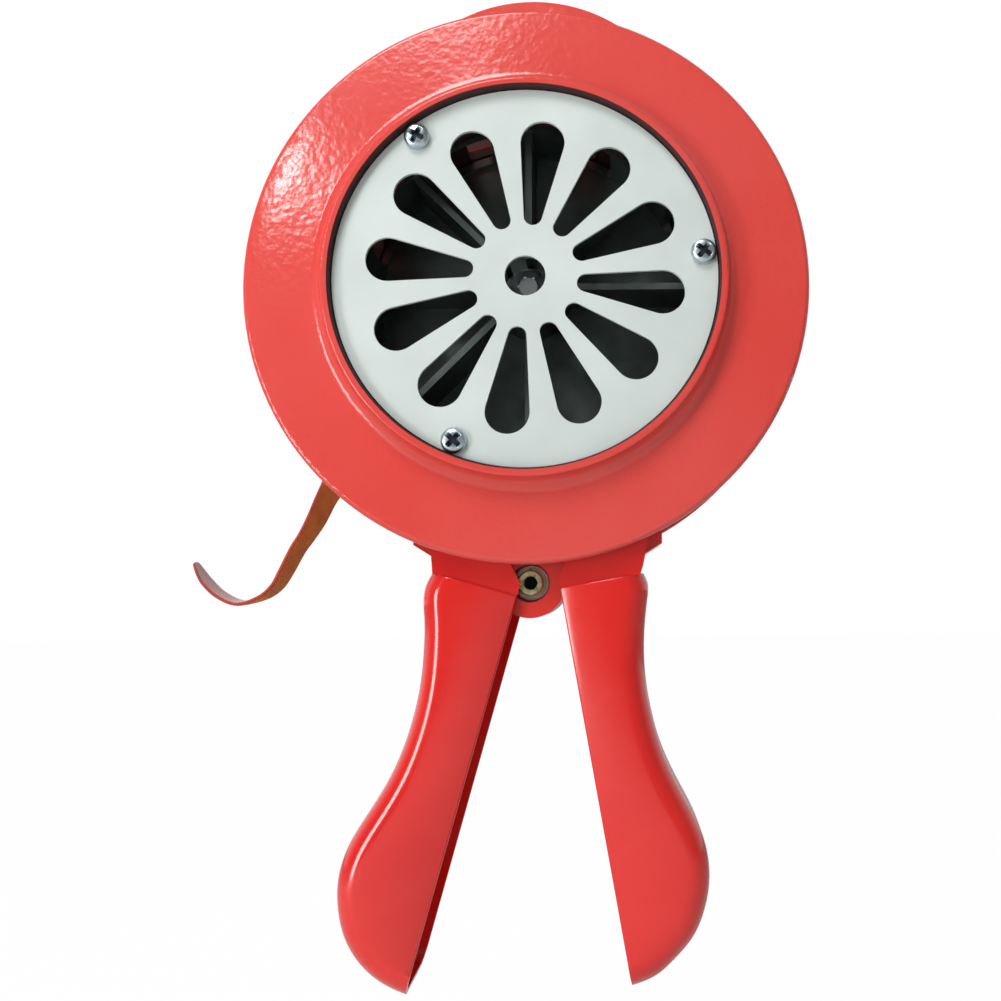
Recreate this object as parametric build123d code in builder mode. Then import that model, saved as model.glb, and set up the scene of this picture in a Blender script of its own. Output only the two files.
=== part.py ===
from build123d import *
from math import acos, cos, hypot, pi, radians, sin, tan
import os

# Hand cranked siren. A vaned rotor is spun by a two stage step-up gear train inside a ported
# stator drum, between a front flange with a slotted grille and a rear casing. Two hollow grip
# halves hang on pins in the neck below the drum and fold out and up between the flanges.
# X is to the right seen from the front, Y runs back along the siren's axis, Z is up. The origin
# is the lug of the neck, where the hand takes hold, at the middle of the grip's depth.
# Depths are measured back from the front face of the grille.

# ---- driving dimensions, millimetres and degrees ----
axis_height = 80.8  # siren axis above the grip lug
flange_radius = 76.0
neck_shift = 2.4  # the neck stands this far right of the siren's axis
grip_shift = 4.1  # the middle of the two grip halves, right of the siren's axis
lug_shift = 0.4  # the lug and its screw, right of the siren's axis

running_gap = 0.05  # radial, shaft in a bearing or bush
seat_gap = 0.02  # radial, pieces that are fixed to each other
face_gap = 0.4  # between a moving face and a fixed one
closing_gap = 0.3  # each grip half from their common plane when shut

grille_radius = 51.0
grille_sheet = 1.0
slot_count = 12
slot_turn = 7.33  # first slot, clockwise from the top
slot_inner_reach = 13.8
slot_outer_reach = 42.5
slot_inner_radius = 2.45
slot_outer_radius = 5.9
hub_hole_radius = 5.4
grille_screw_count = 3
grille_screw_circle = 47.6
grille_screw_turn = -37.2  # first screw, clockwise from the top
small_screw_radius = 1.9
small_head_radius = 3.45
small_head_height = 2.2

collar_rise = 2.6
collar_wall = 2.2
collar_foot = 4.0
collar_foot_depth = 2.2
grille_gap = 0.35
ledge_reach = 44.0
flange_dish = 1.3  # the flange face falls back this much from the collar to the rim
rim_thickness = 4.0
rim_wall = 3.5
web_thickness = 2.6
lobe_radius = 42.3
lobe_reach = 78.2
lobe_turn = 2.9

drum_outer = 49.8
drum_wall = 2.8
drum_front = 6.2
groove_width = 29.4  # clear space between the two flanges
port_count = 12
port_width = 13.0
port_length = 16.0
port_depth = 11.0
casing_screw_circle = 53.6
casing_screw_count = 3
casing_screw_turn = 60.0  # first screw, clockwise from the top
casing_boss_radius = 4.2
casing_boss_rise = 3.0  # bosses on the back of the front flange
casing_screw_radius = 2.0
casing_head_radius = 3.8
casing_head_height = 2.6
casing_screw_length = 36.5

neck_half_width = 28.6
neck_shoulder = 33.4
neck_shoulder_drop = 70.4
neck_flare_drop = 73.4
neck_drop = 77.0
neck_flare_radius = 4.5
neck_corner_radius = 3.0
lug_radius = 9.4
lug_recess_radius = 5.2
lug_recess_depth = 5.2
lug_head_radius = 3.5
lug_head_height = 3.0
lug_socket_width = 3.6
lug_washer_radius = 4.6
lug_washer_thickness = 0.9
spring_washer_radius = 4.1
spring_washer_thickness = 1.1
lug_screw_radius = 2.0
lug_screw_length = 12.0

rear_plate = 3.4
rear_rim_wall = 4.0
bearing_outer = 7.5
bearing_width = 5.0
bearing_spacing = 7.0
bearing_front = 31.5
bearing_boss_radius = 10.6

rotor_gap = 0.7  # rotor rim inside the drum
rotor_rim_wall = 2.2
rotor_front = 8.6
rotor_length = 21.8
rotor_plate = 2.4
rotor_hub_radius = 9.0
rotor_hub_front = 17.0
vane_count = 8
vane_thickness = 1.8
rotor_shaft_radius = 3.0
rotor_shaft_front = 9.6
rotor_nut_width = 10.0
rotor_nut_height = 4.6
rotor_washer_radius = 6.2
rotor_washer_thickness = 1.0

gear_module = 0.8
pinion_teeth = 14
wheel_teeth = 63
backlash = 0.12
gear_width = 5.0
pinion_extra = 1.0  # a pinion is this much wider than the wheel it drives
gear_side_gap = 0.9
idler_pin_radius = 2.5
wheel_hub_radius = 9.0
wheel_web = 2.4
wheel_rim = 3.2

housing_gap = 1.7  # wheel tips to the housing wall
housing_wall = 4.4
housing_depth = 19.8
gasket_thickness = 0.5
cover_plate = 3.0
cover_boss_radius = 10.0
cover_boss_length = 3.2
cover_screw_radius = 1.5
cover_head_radius = 2.8
cover_head_height = 1.9
cover_screw_length = 10.0

crank_shaft_radius = 4.0
crank_bush_wall = 2.4
crank_bush_flange = 1.2
crank_throw = 58.0
crank_width = 16.0
crank_thickness = 3.2
crank_spacer = 1.5
crank_washer_radius = 8.0
lock_washer_thickness = 1.2
crank_nut_width = 13.0
crank_nut_height = 6.0
knob_pin_radius = 3.0
knob_length = 37.0
knob_radius = 12.0
knob_waist = 8.6
knob_washer_thickness = 0.8
knob_head_radius = 5.2
knob_head_height = 1.8

hinge_half_spacing = 25.3
hinge_drop = 56.8  # hinge pins below the siren's axis
hinge_pin_radius = 3.0
hinge_head_radius = 4.6
hinge_head_height = 1.1
ear_radius = 6.0
ear_step = 1.2  # the ears are set in from the faces of the grip
grip_wall = 1.6
grip_side_gap = 0.4
grip_top = 21.4  # top edge of the grip below its hinge pin
grip_edge = (  # outer edge of a grip half: out from the inner edge, down from the top edge
    (25.6, -7.0),
    (24.0, 0.0),
    (19.3, 20.0),
    (17.9, 38.0),
    (18.9, 52.0),
    (23.6, 70.0),
    (24.9, 80.0),
    (22.8, 89.0),
    (17.5, 97.0),
    (9.0, 103.3),
    (0.0, 106.6),
    (-7.0, 108.2),
)
ear_rise = 3.7
ear_lap = 3.0
grip_round = 6.5
grip_top_round = 1.2
left_opening = 15.75
right_opening = 10.06

strap_width = 8.0
strap_thickness = 1.4
strap_screw_place = (-57.4, -39.2)  # from the siren's axis
strap_head_radius = 3.4
strap_head_height = 2.0
strap_washer_radius = 3.9
strap_washer_thickness = 0.8
strap_screw_radius = 1.5
strap_course = (  # right of and above the siren's axis, behind the rear flange, twist
    (-55.5, -34.5, 0.0, 0),
    (-57.4, -39.2, 0.0, 0),
    (-58.9, -42.7, 0.0, 0),
    (-60.4, -46.3, 0.8, 10),
    (-63.1, -52.2, 1.8, 30),
    (-67.6, -63.3, 3.6, 46),
    (-74.0, -78.5, 4.6, 68),
    (-80.5, -84.2, 4.8, 80),
    (-89.5, -85.6, 5.0, 86),
    (-96.5, -82.0, 5.0, 88),
    (-103.6, -73.7, 5.0, 90),
)

# ---- depths and places that follow ----
collar_inner = grille_radius + grille_gap
collar_outer = collar_inner + collar_wall
rim_front = collar_foot_depth + flange_dish
rim_back = rim_front + rim_thickness
groove_front = rim_back
groove_back = groove_front + groove_width
grip_depth = groove_width - 2 * grip_side_gap
grip_middle = groove_front + groove_width / 2
ear_outer = grip_depth / 2 - ear_step
ear_inner = ear_outer - grip_wall
neck_half_depth = ear_inner - face_gap
neck_front = grip_middle - neck_half_depth
neck_back = grip_middle + neck_half_depth
drum_inner = drum_outer - drum_wall
rear_face = groove_back + rear_plate
casing_screw_tip = rear_face - casing_screw_length

rotor_radius = drum_inner - rotor_gap
rotor_back = rotor_front + rotor_length
bearing_back = bearing_front + bearing_spacing + bearing_width
bearing_boss_back = bearing_back + 0.4
first_gear_front = bearing_boss_back + gear_side_gap
first_gear_back = first_gear_front + gear_width
second_gear_front = first_gear_back + pinion_extra + 0.2
second_gear_back = second_gear_front + gear_width
centre_distance = gear_module * (pinion_teeth + wheel_teeth) / 2
wheel_addendum = 0.9
pinion_addendum = 1.0
dedendum = 1.3
wheel_tip = gear_module * (wheel_teeth / 2 + wheel_addendum)
housing_inner = wheel_tip + housing_gap
housing_outer = housing_inner + housing_wall
housing_back = rear_face + housing_depth
cover_front = housing_back + gasket_thickness
cover_back = cover_front + cover_plate
cover_boss_back = cover_back + cover_boss_length
crank_bush_radius = crank_shaft_radius + running_gap + crank_bush_wall
crank_front = cover_boss_back + face_gap + crank_spacer
crank_back = crank_front + crank_thickness
knob_front = crank_back + knob_washer_thickness + face_gap
knob_back = knob_front + knob_length
left_hinge = grip_shift - hinge_half_spacing
right_hinge = grip_shift + hinge_half_spacing
grip_inner_edge = closing_gap - hinge_half_spacing  # seen from the hinge pin, outward positive
idler_height = centre_distance
wall_middle = (housing_inner + housing_outer) / 2
cover_screw_reach = wall_middle * sin(radians(45))
cover_screw_places = [
    (side * cover_screw_reach, height)
    for side in (-1, 1)
    for height in (-cover_screw_reach, idler_height + cover_screw_reach)
]


def point(x, depth, z):
    """A place x right of, depth behind and z above the centre of the grille's front face."""
    return (x, depth - grip_middle, z + axis_height)


def station(depth):
    """The plane square to the siren's axis at a depth, facing the front, centred on the axis."""
    return Plane(origin=point(0, depth, 0), x_dir=(1, 0, 0), z_dir=(0, -1, 0))


section = Plane(origin=point(0, 0, 0), x_dir=(0, 1, 0), z_dir=(1, 0, 0))  # depth, radius
siren_axis = Axis(point(0, 0, 0), (0, 1, 0))


def section_at(x, z):
    """The half section plane, in depth and radius, of a turned piece whose axis is at x, z."""
    return Plane(origin=point(x, 0, z), x_dir=(0, 1, 0), z_dir=(1, 0, 0))


def axis_at(x, z):
    return Axis(point(x, 0, z), (0, 1, 0))


def clockwise(turn):
    """A clock angle from the top, as the plane angle from the right."""
    return 90 - turn


def round_screws():
    """The places of the casing screws about the siren's axis."""
    return PolarLocations(
        casing_screw_circle, casing_screw_count, start_angle=clockwise(casing_screw_turn)
    )


def round_grille():
    """The places of the grille screws about the siren's axis."""
    return PolarLocations(
        grille_screw_circle, grille_screw_count, start_angle=clockwise(grille_screw_turn)
    )


def corner(shape, x, y):
    """The vertex of a flat profile that lies nearest to x, y."""
    return shape.vertices().sort_by_distance((x, y, 0))[0]


os.makedirs("parts", exist_ok=True)


def save(builder, name):
    builder.part.label = name
    export_step(builder.part, f"parts/{name}.step")


def pan_head(radius, height):
    """Half profile of a pan head that stands in front of its seat at 0, for revolving."""
    Polyline((0, 0), (0, radius), (-height * 0.45, radius))
    RadiusArc((-height * 0.45, radius), (-height, radius * 0.45), -radius * 0.7)
    Polyline((-height, radius * 0.45), (-height, 0), (0, 0))


def gear_outline(teeth, addendum):
    """Closed involute outline of a gear with a tooth at angle 0, as a list of points."""
    pressure = radians(20)
    pitch = gear_module * teeth / 2
    base = pitch * cos(pressure)
    root = pitch - dedendum * gear_module
    tip = pitch + addendum * gear_module
    half_tooth = pi / (2 * teeth) - backlash / (2 * pitch)

    def flank(radius):
        roll = acos(min(1, base / radius))
        return half_tooth + tan(pressure) - pressure - (tan(roll) - roll)

    rises = sorted({root, max(root, base), pitch, tip})
    places = []
    for tooth in range(teeth):
        centre = 2 * pi * tooth / teeth
        places += [(r, centre - flank(r)) for r in rises]
        places += [(r, centre + flank(r)) for r in reversed(rises)]
    return [(r * cos(t), r * sin(t)) for r, t in places]


# ---- front flange: dished plate, collar round the grille, ledge behind it, lobe on the rim ----
with BuildPart() as front_flange:
    with BuildSketch(section) as flange_profile:
        with BuildLine():
            Polyline(
                (grille_sheet, ledge_reach),
                (grille_sheet, collar_inner),
                (-collar_rise, collar_inner),
                (-collar_rise, collar_outer),
                (collar_foot_depth, collar_outer + 0.8),
                (rim_front, flange_radius),
                (rim_back, flange_radius),
                (rim_back, flange_radius - rim_wall),
                (rim_front + web_thickness, flange_radius - rim_wall),
                (collar_foot_depth + web_thickness, collar_outer + collar_foot),
                (drum_front, drum_outer + 1.5),
                (drum_front, ledge_reach),
                close=True,
            )
        make_face()
        fillet(corner(flange_profile, collar_foot_depth, collar_outer + 0.8), collar_foot)
        fillet(corner(flange_profile, -collar_rise, collar_outer), 0.8)
        fillet(corner(flange_profile, -collar_rise, collar_inner), 0.5)
        fillet(corner(flange_profile, rim_front, flange_radius), 1.6)
        fillet(corner(flange_profile, rim_back, flange_radius), 0.8)
    revolve(axis=siren_axis)
    with BuildSketch(station(rim_back)) as lobe:
        with PolarLocations(lobe_reach - lobe_radius, 1, start_angle=clockwise(lobe_turn)):
            Circle(lobe_radius)
        Circle(flange_radius - rim_wall / 2, mode=Mode.SUBTRACT)
    extrude(amount=rim_thickness - 0.3)
    with BuildSketch(station(drum_front)):
        with round_grille():
            Circle(small_screw_radius + seat_gap)
    extrude(amount=drum_front - grille_sheet, mode=Mode.SUBTRACT)
    with BuildSketch(station(drum_front)):
        with round_screws():
            Circle(casing_boss_radius)
    extrude(amount=casing_boss_rise)
    with BuildSketch(station(drum_front)):
        with round_screws():
            Circle(casing_screw_radius + seat_gap)
    extrude(amount=drum_front - casing_screw_tip + 0.3, mode=Mode.SUBTRACT)
save(front_flange, "front_flange")

# ---- grille: flat sheet with teardrop slots round a hub hole ----
with BuildPart() as grille:
    with BuildSketch(station(grille_sheet)):
        Circle(grille_radius)
        Circle(hub_hole_radius, mode=Mode.SUBTRACT)
        with round_grille():
            Circle(small_screw_radius + 0.2, mode=Mode.SUBTRACT)
        with BuildSketch(mode=Mode.PRIVATE) as teardrop:
            with Locations((slot_outer_reach - slot_outer_radius, 0)):
                Circle(slot_outer_radius)
            with Locations((slot_inner_reach + slot_inner_radius, 0)):
                Circle(slot_inner_radius)
            make_hull()
        with PolarLocations(0, slot_count, start_angle=clockwise(slot_turn)):
            add(teardrop.sketch, mode=Mode.SUBTRACT)
    extrude(amount=grille_sheet)
save(grille, "grille")

# ---- grille screws: pan heads on the sheet, shanks through the ledge ----
with BuildPart() as grille_screws:
    with BuildSketch(station(drum_front - 0.4)):
        with round_grille():
            Circle(small_screw_radius)
    extrude(amount=drum_front - 0.4)
    for screw in range(grille_screw_count):
        turn = grille_screw_turn + 360 * screw / grille_screw_count
        place = (grille_screw_circle * sin(radians(turn)), grille_screw_circle * cos(radians(turn)))
        with BuildSketch(section_at(*place)):
            with BuildLine():
                pan_head(small_head_radius, small_head_height)
            make_face()
        revolve(axis=axis_at(*place))
save(grille_screws, "grille_screws")

# ---- stator drum: ported wall, screw bosses, and the neck with its lug cast on below ----
with BuildPart() as stator_drum:
    with BuildSketch(station(groove_back)):
        Circle(drum_outer)
        with round_screws():
            Circle(casing_boss_radius)
        Circle(drum_inner, mode=Mode.SUBTRACT)
    extrude(amount=groove_back - drum_front)
    with BuildSketch(station(neck_back)) as neck:
        with BuildLine():
            Polyline(
                (neck_shift - neck_shoulder, -neck_shoulder_drop),
                (neck_shift - neck_half_width, -neck_flare_drop),
                (neck_shift - neck_half_width, -neck_drop),
                (neck_shift + neck_half_width, -neck_drop),
                (neck_shift + neck_half_width, -neck_flare_drop),
                (neck_shift + neck_shoulder, -neck_shoulder_drop),
                (neck_shift + neck_shoulder, -hinge_drop),
                (grip_shift + hinge_half_spacing, ear_radius + 6 - hinge_drop),
                (grip_shift - hinge_half_spacing, ear_radius + 6 - hinge_drop),
                (neck_shift - neck_shoulder, -hinge_drop),
                close=True,
            )
        make_face()
        for side in (-1, 1):
            x = neck_shift + side * neck_half_width
            fillet(corner(neck, x, -neck_drop), neck_corner_radius)
        with Locations((lug_shift, -axis_height)):
            Circle(lug_radius)
        Circle(drum_inner + drum_wall / 2, mode=Mode.SUBTRACT)
        with Locations((left_hinge, -hinge_drop), (right_hinge, -hinge_drop)):
            Circle(hinge_pin_radius + seat_gap, mode=Mode.SUBTRACT)
    extrude(amount=neck_back - neck_front)
    for port in range(port_count):
        turn = radians(360 * (port + 0.5) / port_count)
        if cos(turn) < -0.7:
            continue  # the wall stays whole above the neck
        outward = (sin(turn), 0, cos(turn))
        middle = point(0, port_depth + port_length / 2, 0)
        with BuildSketch(Plane(origin=middle, x_dir=(0, 1, 0), z_dir=outward)):
            RectangleRounded(port_length, port_width, 2.0)
        extrude(amount=drum_outer + casing_boss_radius, mode=Mode.SUBTRACT)
    with BuildSketch(station(groove_back)):
        with round_screws():
            Circle(casing_screw_radius + seat_gap)
    extrude(amount=groove_back - drum_front, mode=Mode.SUBTRACT)
    with BuildSketch(station(neck_front + lug_recess_depth)):
        with Locations((lug_shift, -axis_height)):
            Circle(lug_recess_radius)
    extrude(amount=lug_recess_depth, mode=Mode.SUBTRACT)
    with BuildSketch(station(neck_front + lug_recess_depth + lug_screw_length)):
        with Locations((lug_shift, -axis_height)):
            Circle(lug_screw_radius + seat_gap)
    extrude(amount=lug_screw_length, mode=Mode.SUBTRACT)
save(stator_drum, "stator_drum")

# ---- lug screw with its flat washer and spring washer, in the recess of the lug ----
lug_floor = neck_front + lug_recess_depth
spring_seat = lug_floor - lug_washer_thickness
lug_head_seat = spring_seat - spring_washer_thickness
with BuildPart() as lug_washer:
    with BuildSketch(station(lug_floor)):
        with Locations((lug_shift, -axis_height)):
            Circle(lug_washer_radius)
            Circle(lug_screw_radius + 0.2, mode=Mode.SUBTRACT)
    extrude(amount=lug_washer_thickness)
save(lug_washer, "lug_washer")

with BuildPart() as lug_spring_washer:
    with BuildSketch(station(spring_seat)):
        with Locations((lug_shift, -axis_height)):
            Circle(spring_washer_radius)
            Circle(lug_screw_radius + 0.2, mode=Mode.SUBTRACT)
        with Locations(Location((lug_shift, -axis_height + spring_washer_radius - 1, 0), 15)):
            Rectangle(0.5, 3.2, mode=Mode.SUBTRACT)
    extrude(amount=spring_washer_thickness)
save(lug_spring_washer, "lug_spring_washer")

with BuildPart() as lug_screw:
    with BuildSketch(station(lug_head_seat)):
        with Locations((lug_shift, -axis_height)):
            Circle(lug_head_radius)
    extrude(amount=lug_head_height)
    chamfer(lug_screw.faces().sort_by(Axis.Y)[0].edges(), 0.4)
    with BuildSketch(station(lug_head_seat - lug_head_height + 1.8)):
        with Locations((lug_shift, -axis_height)):
            RegularPolygon(lug_socket_width / 2, 6, major_radius=False)
    extrude(amount=1.8, mode=Mode.SUBTRACT)
    with BuildSketch(station(lug_floor + lug_screw_length - 1)):
        with Locations((lug_shift, -axis_height)):
            Circle(lug_screw_radius)
    extrude(amount=lug_floor + lug_screw_length - 1 - lug_head_seat)
save(lug_screw, "lug_screw")

# ---- rear casing: rear flange, bearing boss inside it and the gear housing wall behind it ----
def housing_outline(radius):
    """Rounded outline round the two gear centres, one above the other."""
    with Locations((0, idler_height / 2)):
        SlotCenterToCenter(idler_height, 2 * radius, rotation=90)


with BuildPart() as rear_casing:
    with BuildSketch(section) as casing_profile:
        with BuildLine():
            Polyline(
                (bearing_front - 0.4, 0),
                (bearing_front - 0.4, bearing_boss_radius),
                (groove_back, bearing_boss_radius + 1),
                (groove_back, flange_radius),
                (rear_face, flange_radius),
                (rear_face, bearing_boss_radius + 1),
                (bearing_boss_back, bearing_boss_radius),
                (bearing_boss_back, 0),
                close=True,
            )
        make_face()
        fillet(corner(casing_profile, groove_back, flange_radius), 0.8)
        fillet(corner(casing_profile, rear_face, flange_radius), 1.5)
    revolve(axis=siren_axis)
    with BuildSketch(station(housing_back)):
        housing_outline(housing_outer)
        with BuildSketch(mode=Mode.PRIVATE) as housing_hollow:
            housing_outline(housing_inner)
        add(housing_hollow.sketch, mode=Mode.SUBTRACT)
    extrude(amount=housing_back - rear_face)
    with BuildSketch(station(rear_face + 4)):
        with Locations((0, idler_height)):
            Circle(idler_pin_radius + 3)
    extrude(amount=4)
    with BuildSketch(station(rear_face + 4)):
        with Locations((0, idler_height)):
            Circle(idler_pin_radius + seat_gap)
    extrude(amount=5.5, mode=Mode.SUBTRACT)
    for depth in (bearing_front + bearing_width, bearing_boss_back):
        with BuildSketch(station(depth)):
            Circle(bearing_outer + seat_gap)
        extrude(amount=bearing_width + 0.4, mode=Mode.SUBTRACT)
    with BuildSketch(station(bearing_boss_back)):
        Circle(bearing_outer - 1.5)
    extrude(amount=bearing_boss_back - bearing_front + 1, mode=Mode.SUBTRACT)
    with BuildSketch(station(rear_face)):
        with round_screws():
            Circle(casing_screw_radius + 0.2)
        with Locations(strap_screw_place):
            Circle(strap_screw_radius + seat_gap)
    extrude(amount=rear_plate, mode=Mode.SUBTRACT)
    with BuildSketch(station(housing_back)):
        with Locations(*cover_screw_places):
            Circle(cover_screw_radius + seat_gap)
    extrude(amount=cover_screw_length, mode=Mode.SUBTRACT)
save(rear_casing, "rear_casing")

# ---- casing screws: from the back of the rear flange through the drum into the front flange ----
with BuildPart() as casing_screws:
    for screw in range(casing_screw_count):
        turn = casing_screw_turn + 360 * screw / casing_screw_count
        place = (casing_screw_circle * sin(radians(turn)), casing_screw_circle * cos(radians(turn)))
        head = Plane(origin=point(place[0], rear_face, place[1]), x_dir=(0, -1, 0), z_dir=(-1, 0, 0))
        with BuildSketch(head):
            with BuildLine():
                pan_head(casing_head_radius, casing_head_height)
            make_face()
        revolve(axis=axis_at(*place))
    with BuildSketch(station(rear_face)):
        with round_screws():
            Circle(casing_screw_radius)
    extrude(amount=casing_screw_length)
save(casing_screws, "casing_screws")


# ---- ball bearings of the rotor shaft, fixed in the boss of the rear casing ----
def ring(depth, inner, outer, width, x=0, z=0):
    """A flat ring whose back face is at depth, about an axis at x, z."""
    with BuildSketch(station(depth)) as disc:
        with Locations((x, z)):
            Circle(outer)
            if inner > 0:
                Circle(inner, mode=Mode.SUBTRACT)
    extrude(disc.sketch, amount=width)


def bearing(depth):
    """A shielded ball bearing: two races with a thinner shield between them."""
    shaft_fit = rotor_shaft_radius + running_gap
    ring(depth, shaft_fit, rotor_shaft_radius + 1.4, bearing_width)
    ring(depth, bearing_outer - 1.3, bearing_outer, bearing_width)
    ring(depth - 0.3, rotor_shaft_radius + 1.3, bearing_outer - 1.2, bearing_width - 0.6)


with BuildPart() as front_bearing:
    bearing(bearing_front + bearing_width)
save(front_bearing, "front_bearing")

with BuildPart() as rear_bearing:
    bearing(bearing_back)
save(rear_bearing, "rear_bearing")

# ---- rotor: hub, back plate, radial vanes and a ported rim ----
with BuildPart() as rotor:
    with BuildSketch(section):
        with BuildLine():
            Polyline(
                (rotor_front, rotor_radius - rotor_rim_wall),
                (rotor_front, rotor_radius),
                (rotor_back, rotor_radius),
                (rotor_back, rotor_shaft_radius + seat_gap),
                (rotor_hub_front, rotor_shaft_radius + seat_gap),
                (rotor_hub_front, rotor_hub_radius - 1.5),
                (rotor_back - rotor_plate, rotor_hub_radius + 1.5),
                (rotor_back - rotor_plate, rotor_radius - rotor_rim_wall),
                close=True,
            )
        make_face()
    revolve(axis=siren_axis)
    with BuildSketch(station(rotor_back - rotor_plate)):
        vane_inner = rotor_hub_radius - 1
        vane_outer = rotor_radius - rotor_rim_wall / 2
        with PolarLocations((vane_inner + vane_outer) / 2, vane_count, start_angle=90):
            Rectangle(vane_outer - vane_inner, vane_thickness)
    extrude(amount=rotor_back - rotor_plate - rotor_front - 1.5)
    for port in range(vane_count):
        turn = radians(360 * (port + 0.5) / vane_count)
        middle = point(0, port_depth + port_length / 2, 0)
        outward = (sin(turn), 0, cos(turn))
        with BuildSketch(
            Plane(origin=middle, x_dir=(0, 1, 0), z_dir=outward).offset(rotor_radius * 0.75)
        ):
            RectangleRounded(port_length, port_width, 2.0)
        extrude(amount=rotor_radius * 0.3, mode=Mode.SUBTRACT)
save(rotor, "rotor")

pinion_back = first_gear_back + pinion_extra / 2
with BuildPart() as rotor_shaft:
    with BuildSketch(station(pinion_back)):
        Circle(rotor_shaft_radius)
    extrude(amount=pinion_back - rotor_shaft_front)
    chamfer(rotor_shaft.faces().sort_by(Axis.Y)[0].edges(), 0.5)
save(rotor_shaft, "rotor_shaft")

with BuildPart() as rotor_washer:
    ring(rotor_hub_front, rotor_shaft_radius + seat_gap, rotor_washer_radius, rotor_washer_thickness)
save(rotor_washer, "rotor_washer")

rotor_nut_back = rotor_hub_front - rotor_washer_thickness
with BuildPart() as rotor_nut:
    with BuildSketch(station(rotor_nut_back)):
        RegularPolygon(rotor_nut_width / 2, 6, major_radius=False)
        Circle(rotor_shaft_radius + seat_gap, mode=Mode.SUBTRACT)
    extrude(amount=rotor_nut_height)
save(rotor_nut, "rotor_nut")


# ---- gear train: rotor pinion, idler with wheel and pinion, crank wheel ----
def gear(depth, teeth, addendum, width, bore, turn, x=0, z=0):
    """A spur gear whose back face is at depth, with a tooth at the plane angle turn."""
    with BuildSketch(station(depth)) as toothed:
        with Locations(Location((x, z, 0), turn)):
            Polygon(*gear_outline(teeth, addendum), align=None)
        with Locations((x, z)):
            Circle(bore, mode=Mode.SUBTRACT)
    extrude(toothed.sketch, amount=width)


def lighten(front, x=0, z=0):
    """Turn a recess between hub and rim into both faces of a wheel."""
    recess = (gear_width - wheel_web) / 2
    root = gear_module * (wheel_teeth / 2 - dedendum)
    for depth in (front + recess, front + gear_width):
        with BuildSketch(station(depth)) as dish:
            with Locations((x, z)):
                Circle(root - wheel_rim)
                Circle(wheel_hub_radius, mode=Mode.SUBTRACT)
        extrude(dish.sketch, amount=recess, mode=Mode.SUBTRACT)


half_pitch = 180 / wheel_teeth
with BuildPart() as rotor_pinion:
    pinion_width = gear_width + pinion_extra
    gear(pinion_back, pinion_teeth, pinion_addendum, pinion_width, rotor_shaft_radius + seat_gap, 90)
save(rotor_pinion, "rotor_pinion")

idler_bore = idler_pin_radius + running_gap
idler_back = second_gear_back + pinion_extra / 2
with BuildPart() as idler_gear:
    gear(
        first_gear_back, wheel_teeth, wheel_addendum, gear_width, idler_bore, half_pitch - 90,
        z=idler_height,
    )
    lighten(first_gear_front, z=idler_height)
    gear(
        idler_back, pinion_teeth, pinion_addendum, idler_back - first_gear_back, idler_bore, -90,
        z=idler_height,
    )
save(idler_gear, "idler_gear")

bush_front = cover_front - crank_bush_flange
crank_hub_back = bush_front - face_gap
with BuildPart() as crank_gear:
    crank_seat = crank_shaft_radius + seat_gap
    gear(second_gear_back, wheel_teeth, wheel_addendum, gear_width, crank_seat, half_pitch + 90)
    lighten(second_gear_front)
    ring(crank_hub_back, crank_seat, wheel_hub_radius, crank_hub_back - second_gear_back)
save(crank_gear, "crank_gear")

idler_pin_front = rear_face - 1.5
with BuildPart() as idler_pin:
    with BuildSketch(station(cover_back - 0.8)):
        with Locations((0, idler_height)):
            Circle(idler_pin_radius)
    extrude(amount=cover_back - 0.8 - idler_pin_front)
save(idler_pin, "idler_pin")

# ---- gear housing cover with its gasket, screws and crank bush ----
with BuildPart() as gearbox_gasket:
    with BuildSketch(station(cover_front)):
        housing_outline(housing_outer)
        add(housing_hollow.sketch, mode=Mode.SUBTRACT)
        with Locations(*cover_screw_places):
            Circle(cover_screw_radius + 0.2, mode=Mode.SUBTRACT)
    extrude(amount=gasket_thickness)
save(gearbox_gasket, "gearbox_gasket")

with BuildPart() as gearbox_cover:
    with BuildSketch(station(cover_back)):
        housing_outline(housing_outer)
    extrude(amount=cover_plate)
    fillet(gearbox_cover.faces().sort_by(Axis.Y)[-1].edges(), 1.2)
    ring(cover_boss_back, 0, cover_boss_radius, cover_boss_length)
    fillet(gearbox_cover.faces().sort_by(Axis.Y)[-1].edges(), 0.8)
    with BuildSketch(station(cover_boss_back)):
        Circle(crank_bush_radius + seat_gap)
    extrude(amount=cover_boss_back - cover_front, mode=Mode.SUBTRACT)
    with BuildSketch(station(cover_back - 0.8)):
        with Locations((0, idler_height)):
            Circle(idler_pin_radius + seat_gap)
    extrude(amount=cover_plate, mode=Mode.SUBTRACT)
    with BuildSketch(station(cover_back)):
        with Locations(*cover_screw_places):
            Circle(cover_screw_radius + 0.2)
    extrude(amount=cover_plate, mode=Mode.SUBTRACT)
save(gearbox_cover, "gearbox_cover")

with BuildPart() as cover_screws:
    for place in cover_screw_places:
        head = Plane(origin=point(place[0], cover_back, place[1]), x_dir=(0, -1, 0), z_dir=(-1, 0, 0))
        with BuildSketch(head):
            with BuildLine():
                pan_head(cover_head_radius, cover_head_height)
            make_face()
        revolve(axis=axis_at(*place))
    with BuildSketch(station(cover_back)):
        with Locations(*cover_screw_places):
            Circle(cover_screw_radius)
    extrude(amount=cover_screw_length)
save(cover_screws, "cover_screws")

with BuildPart() as crank_bush:
    bush_bore = crank_shaft_radius + running_gap
    ring(cover_boss_back, bush_bore, crank_bush_radius, cover_boss_back - cover_front)
    ring(cover_front, bush_bore, wheel_hub_radius - 0.5, crank_bush_flange)
save(crank_bush, "crank_bush")

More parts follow.
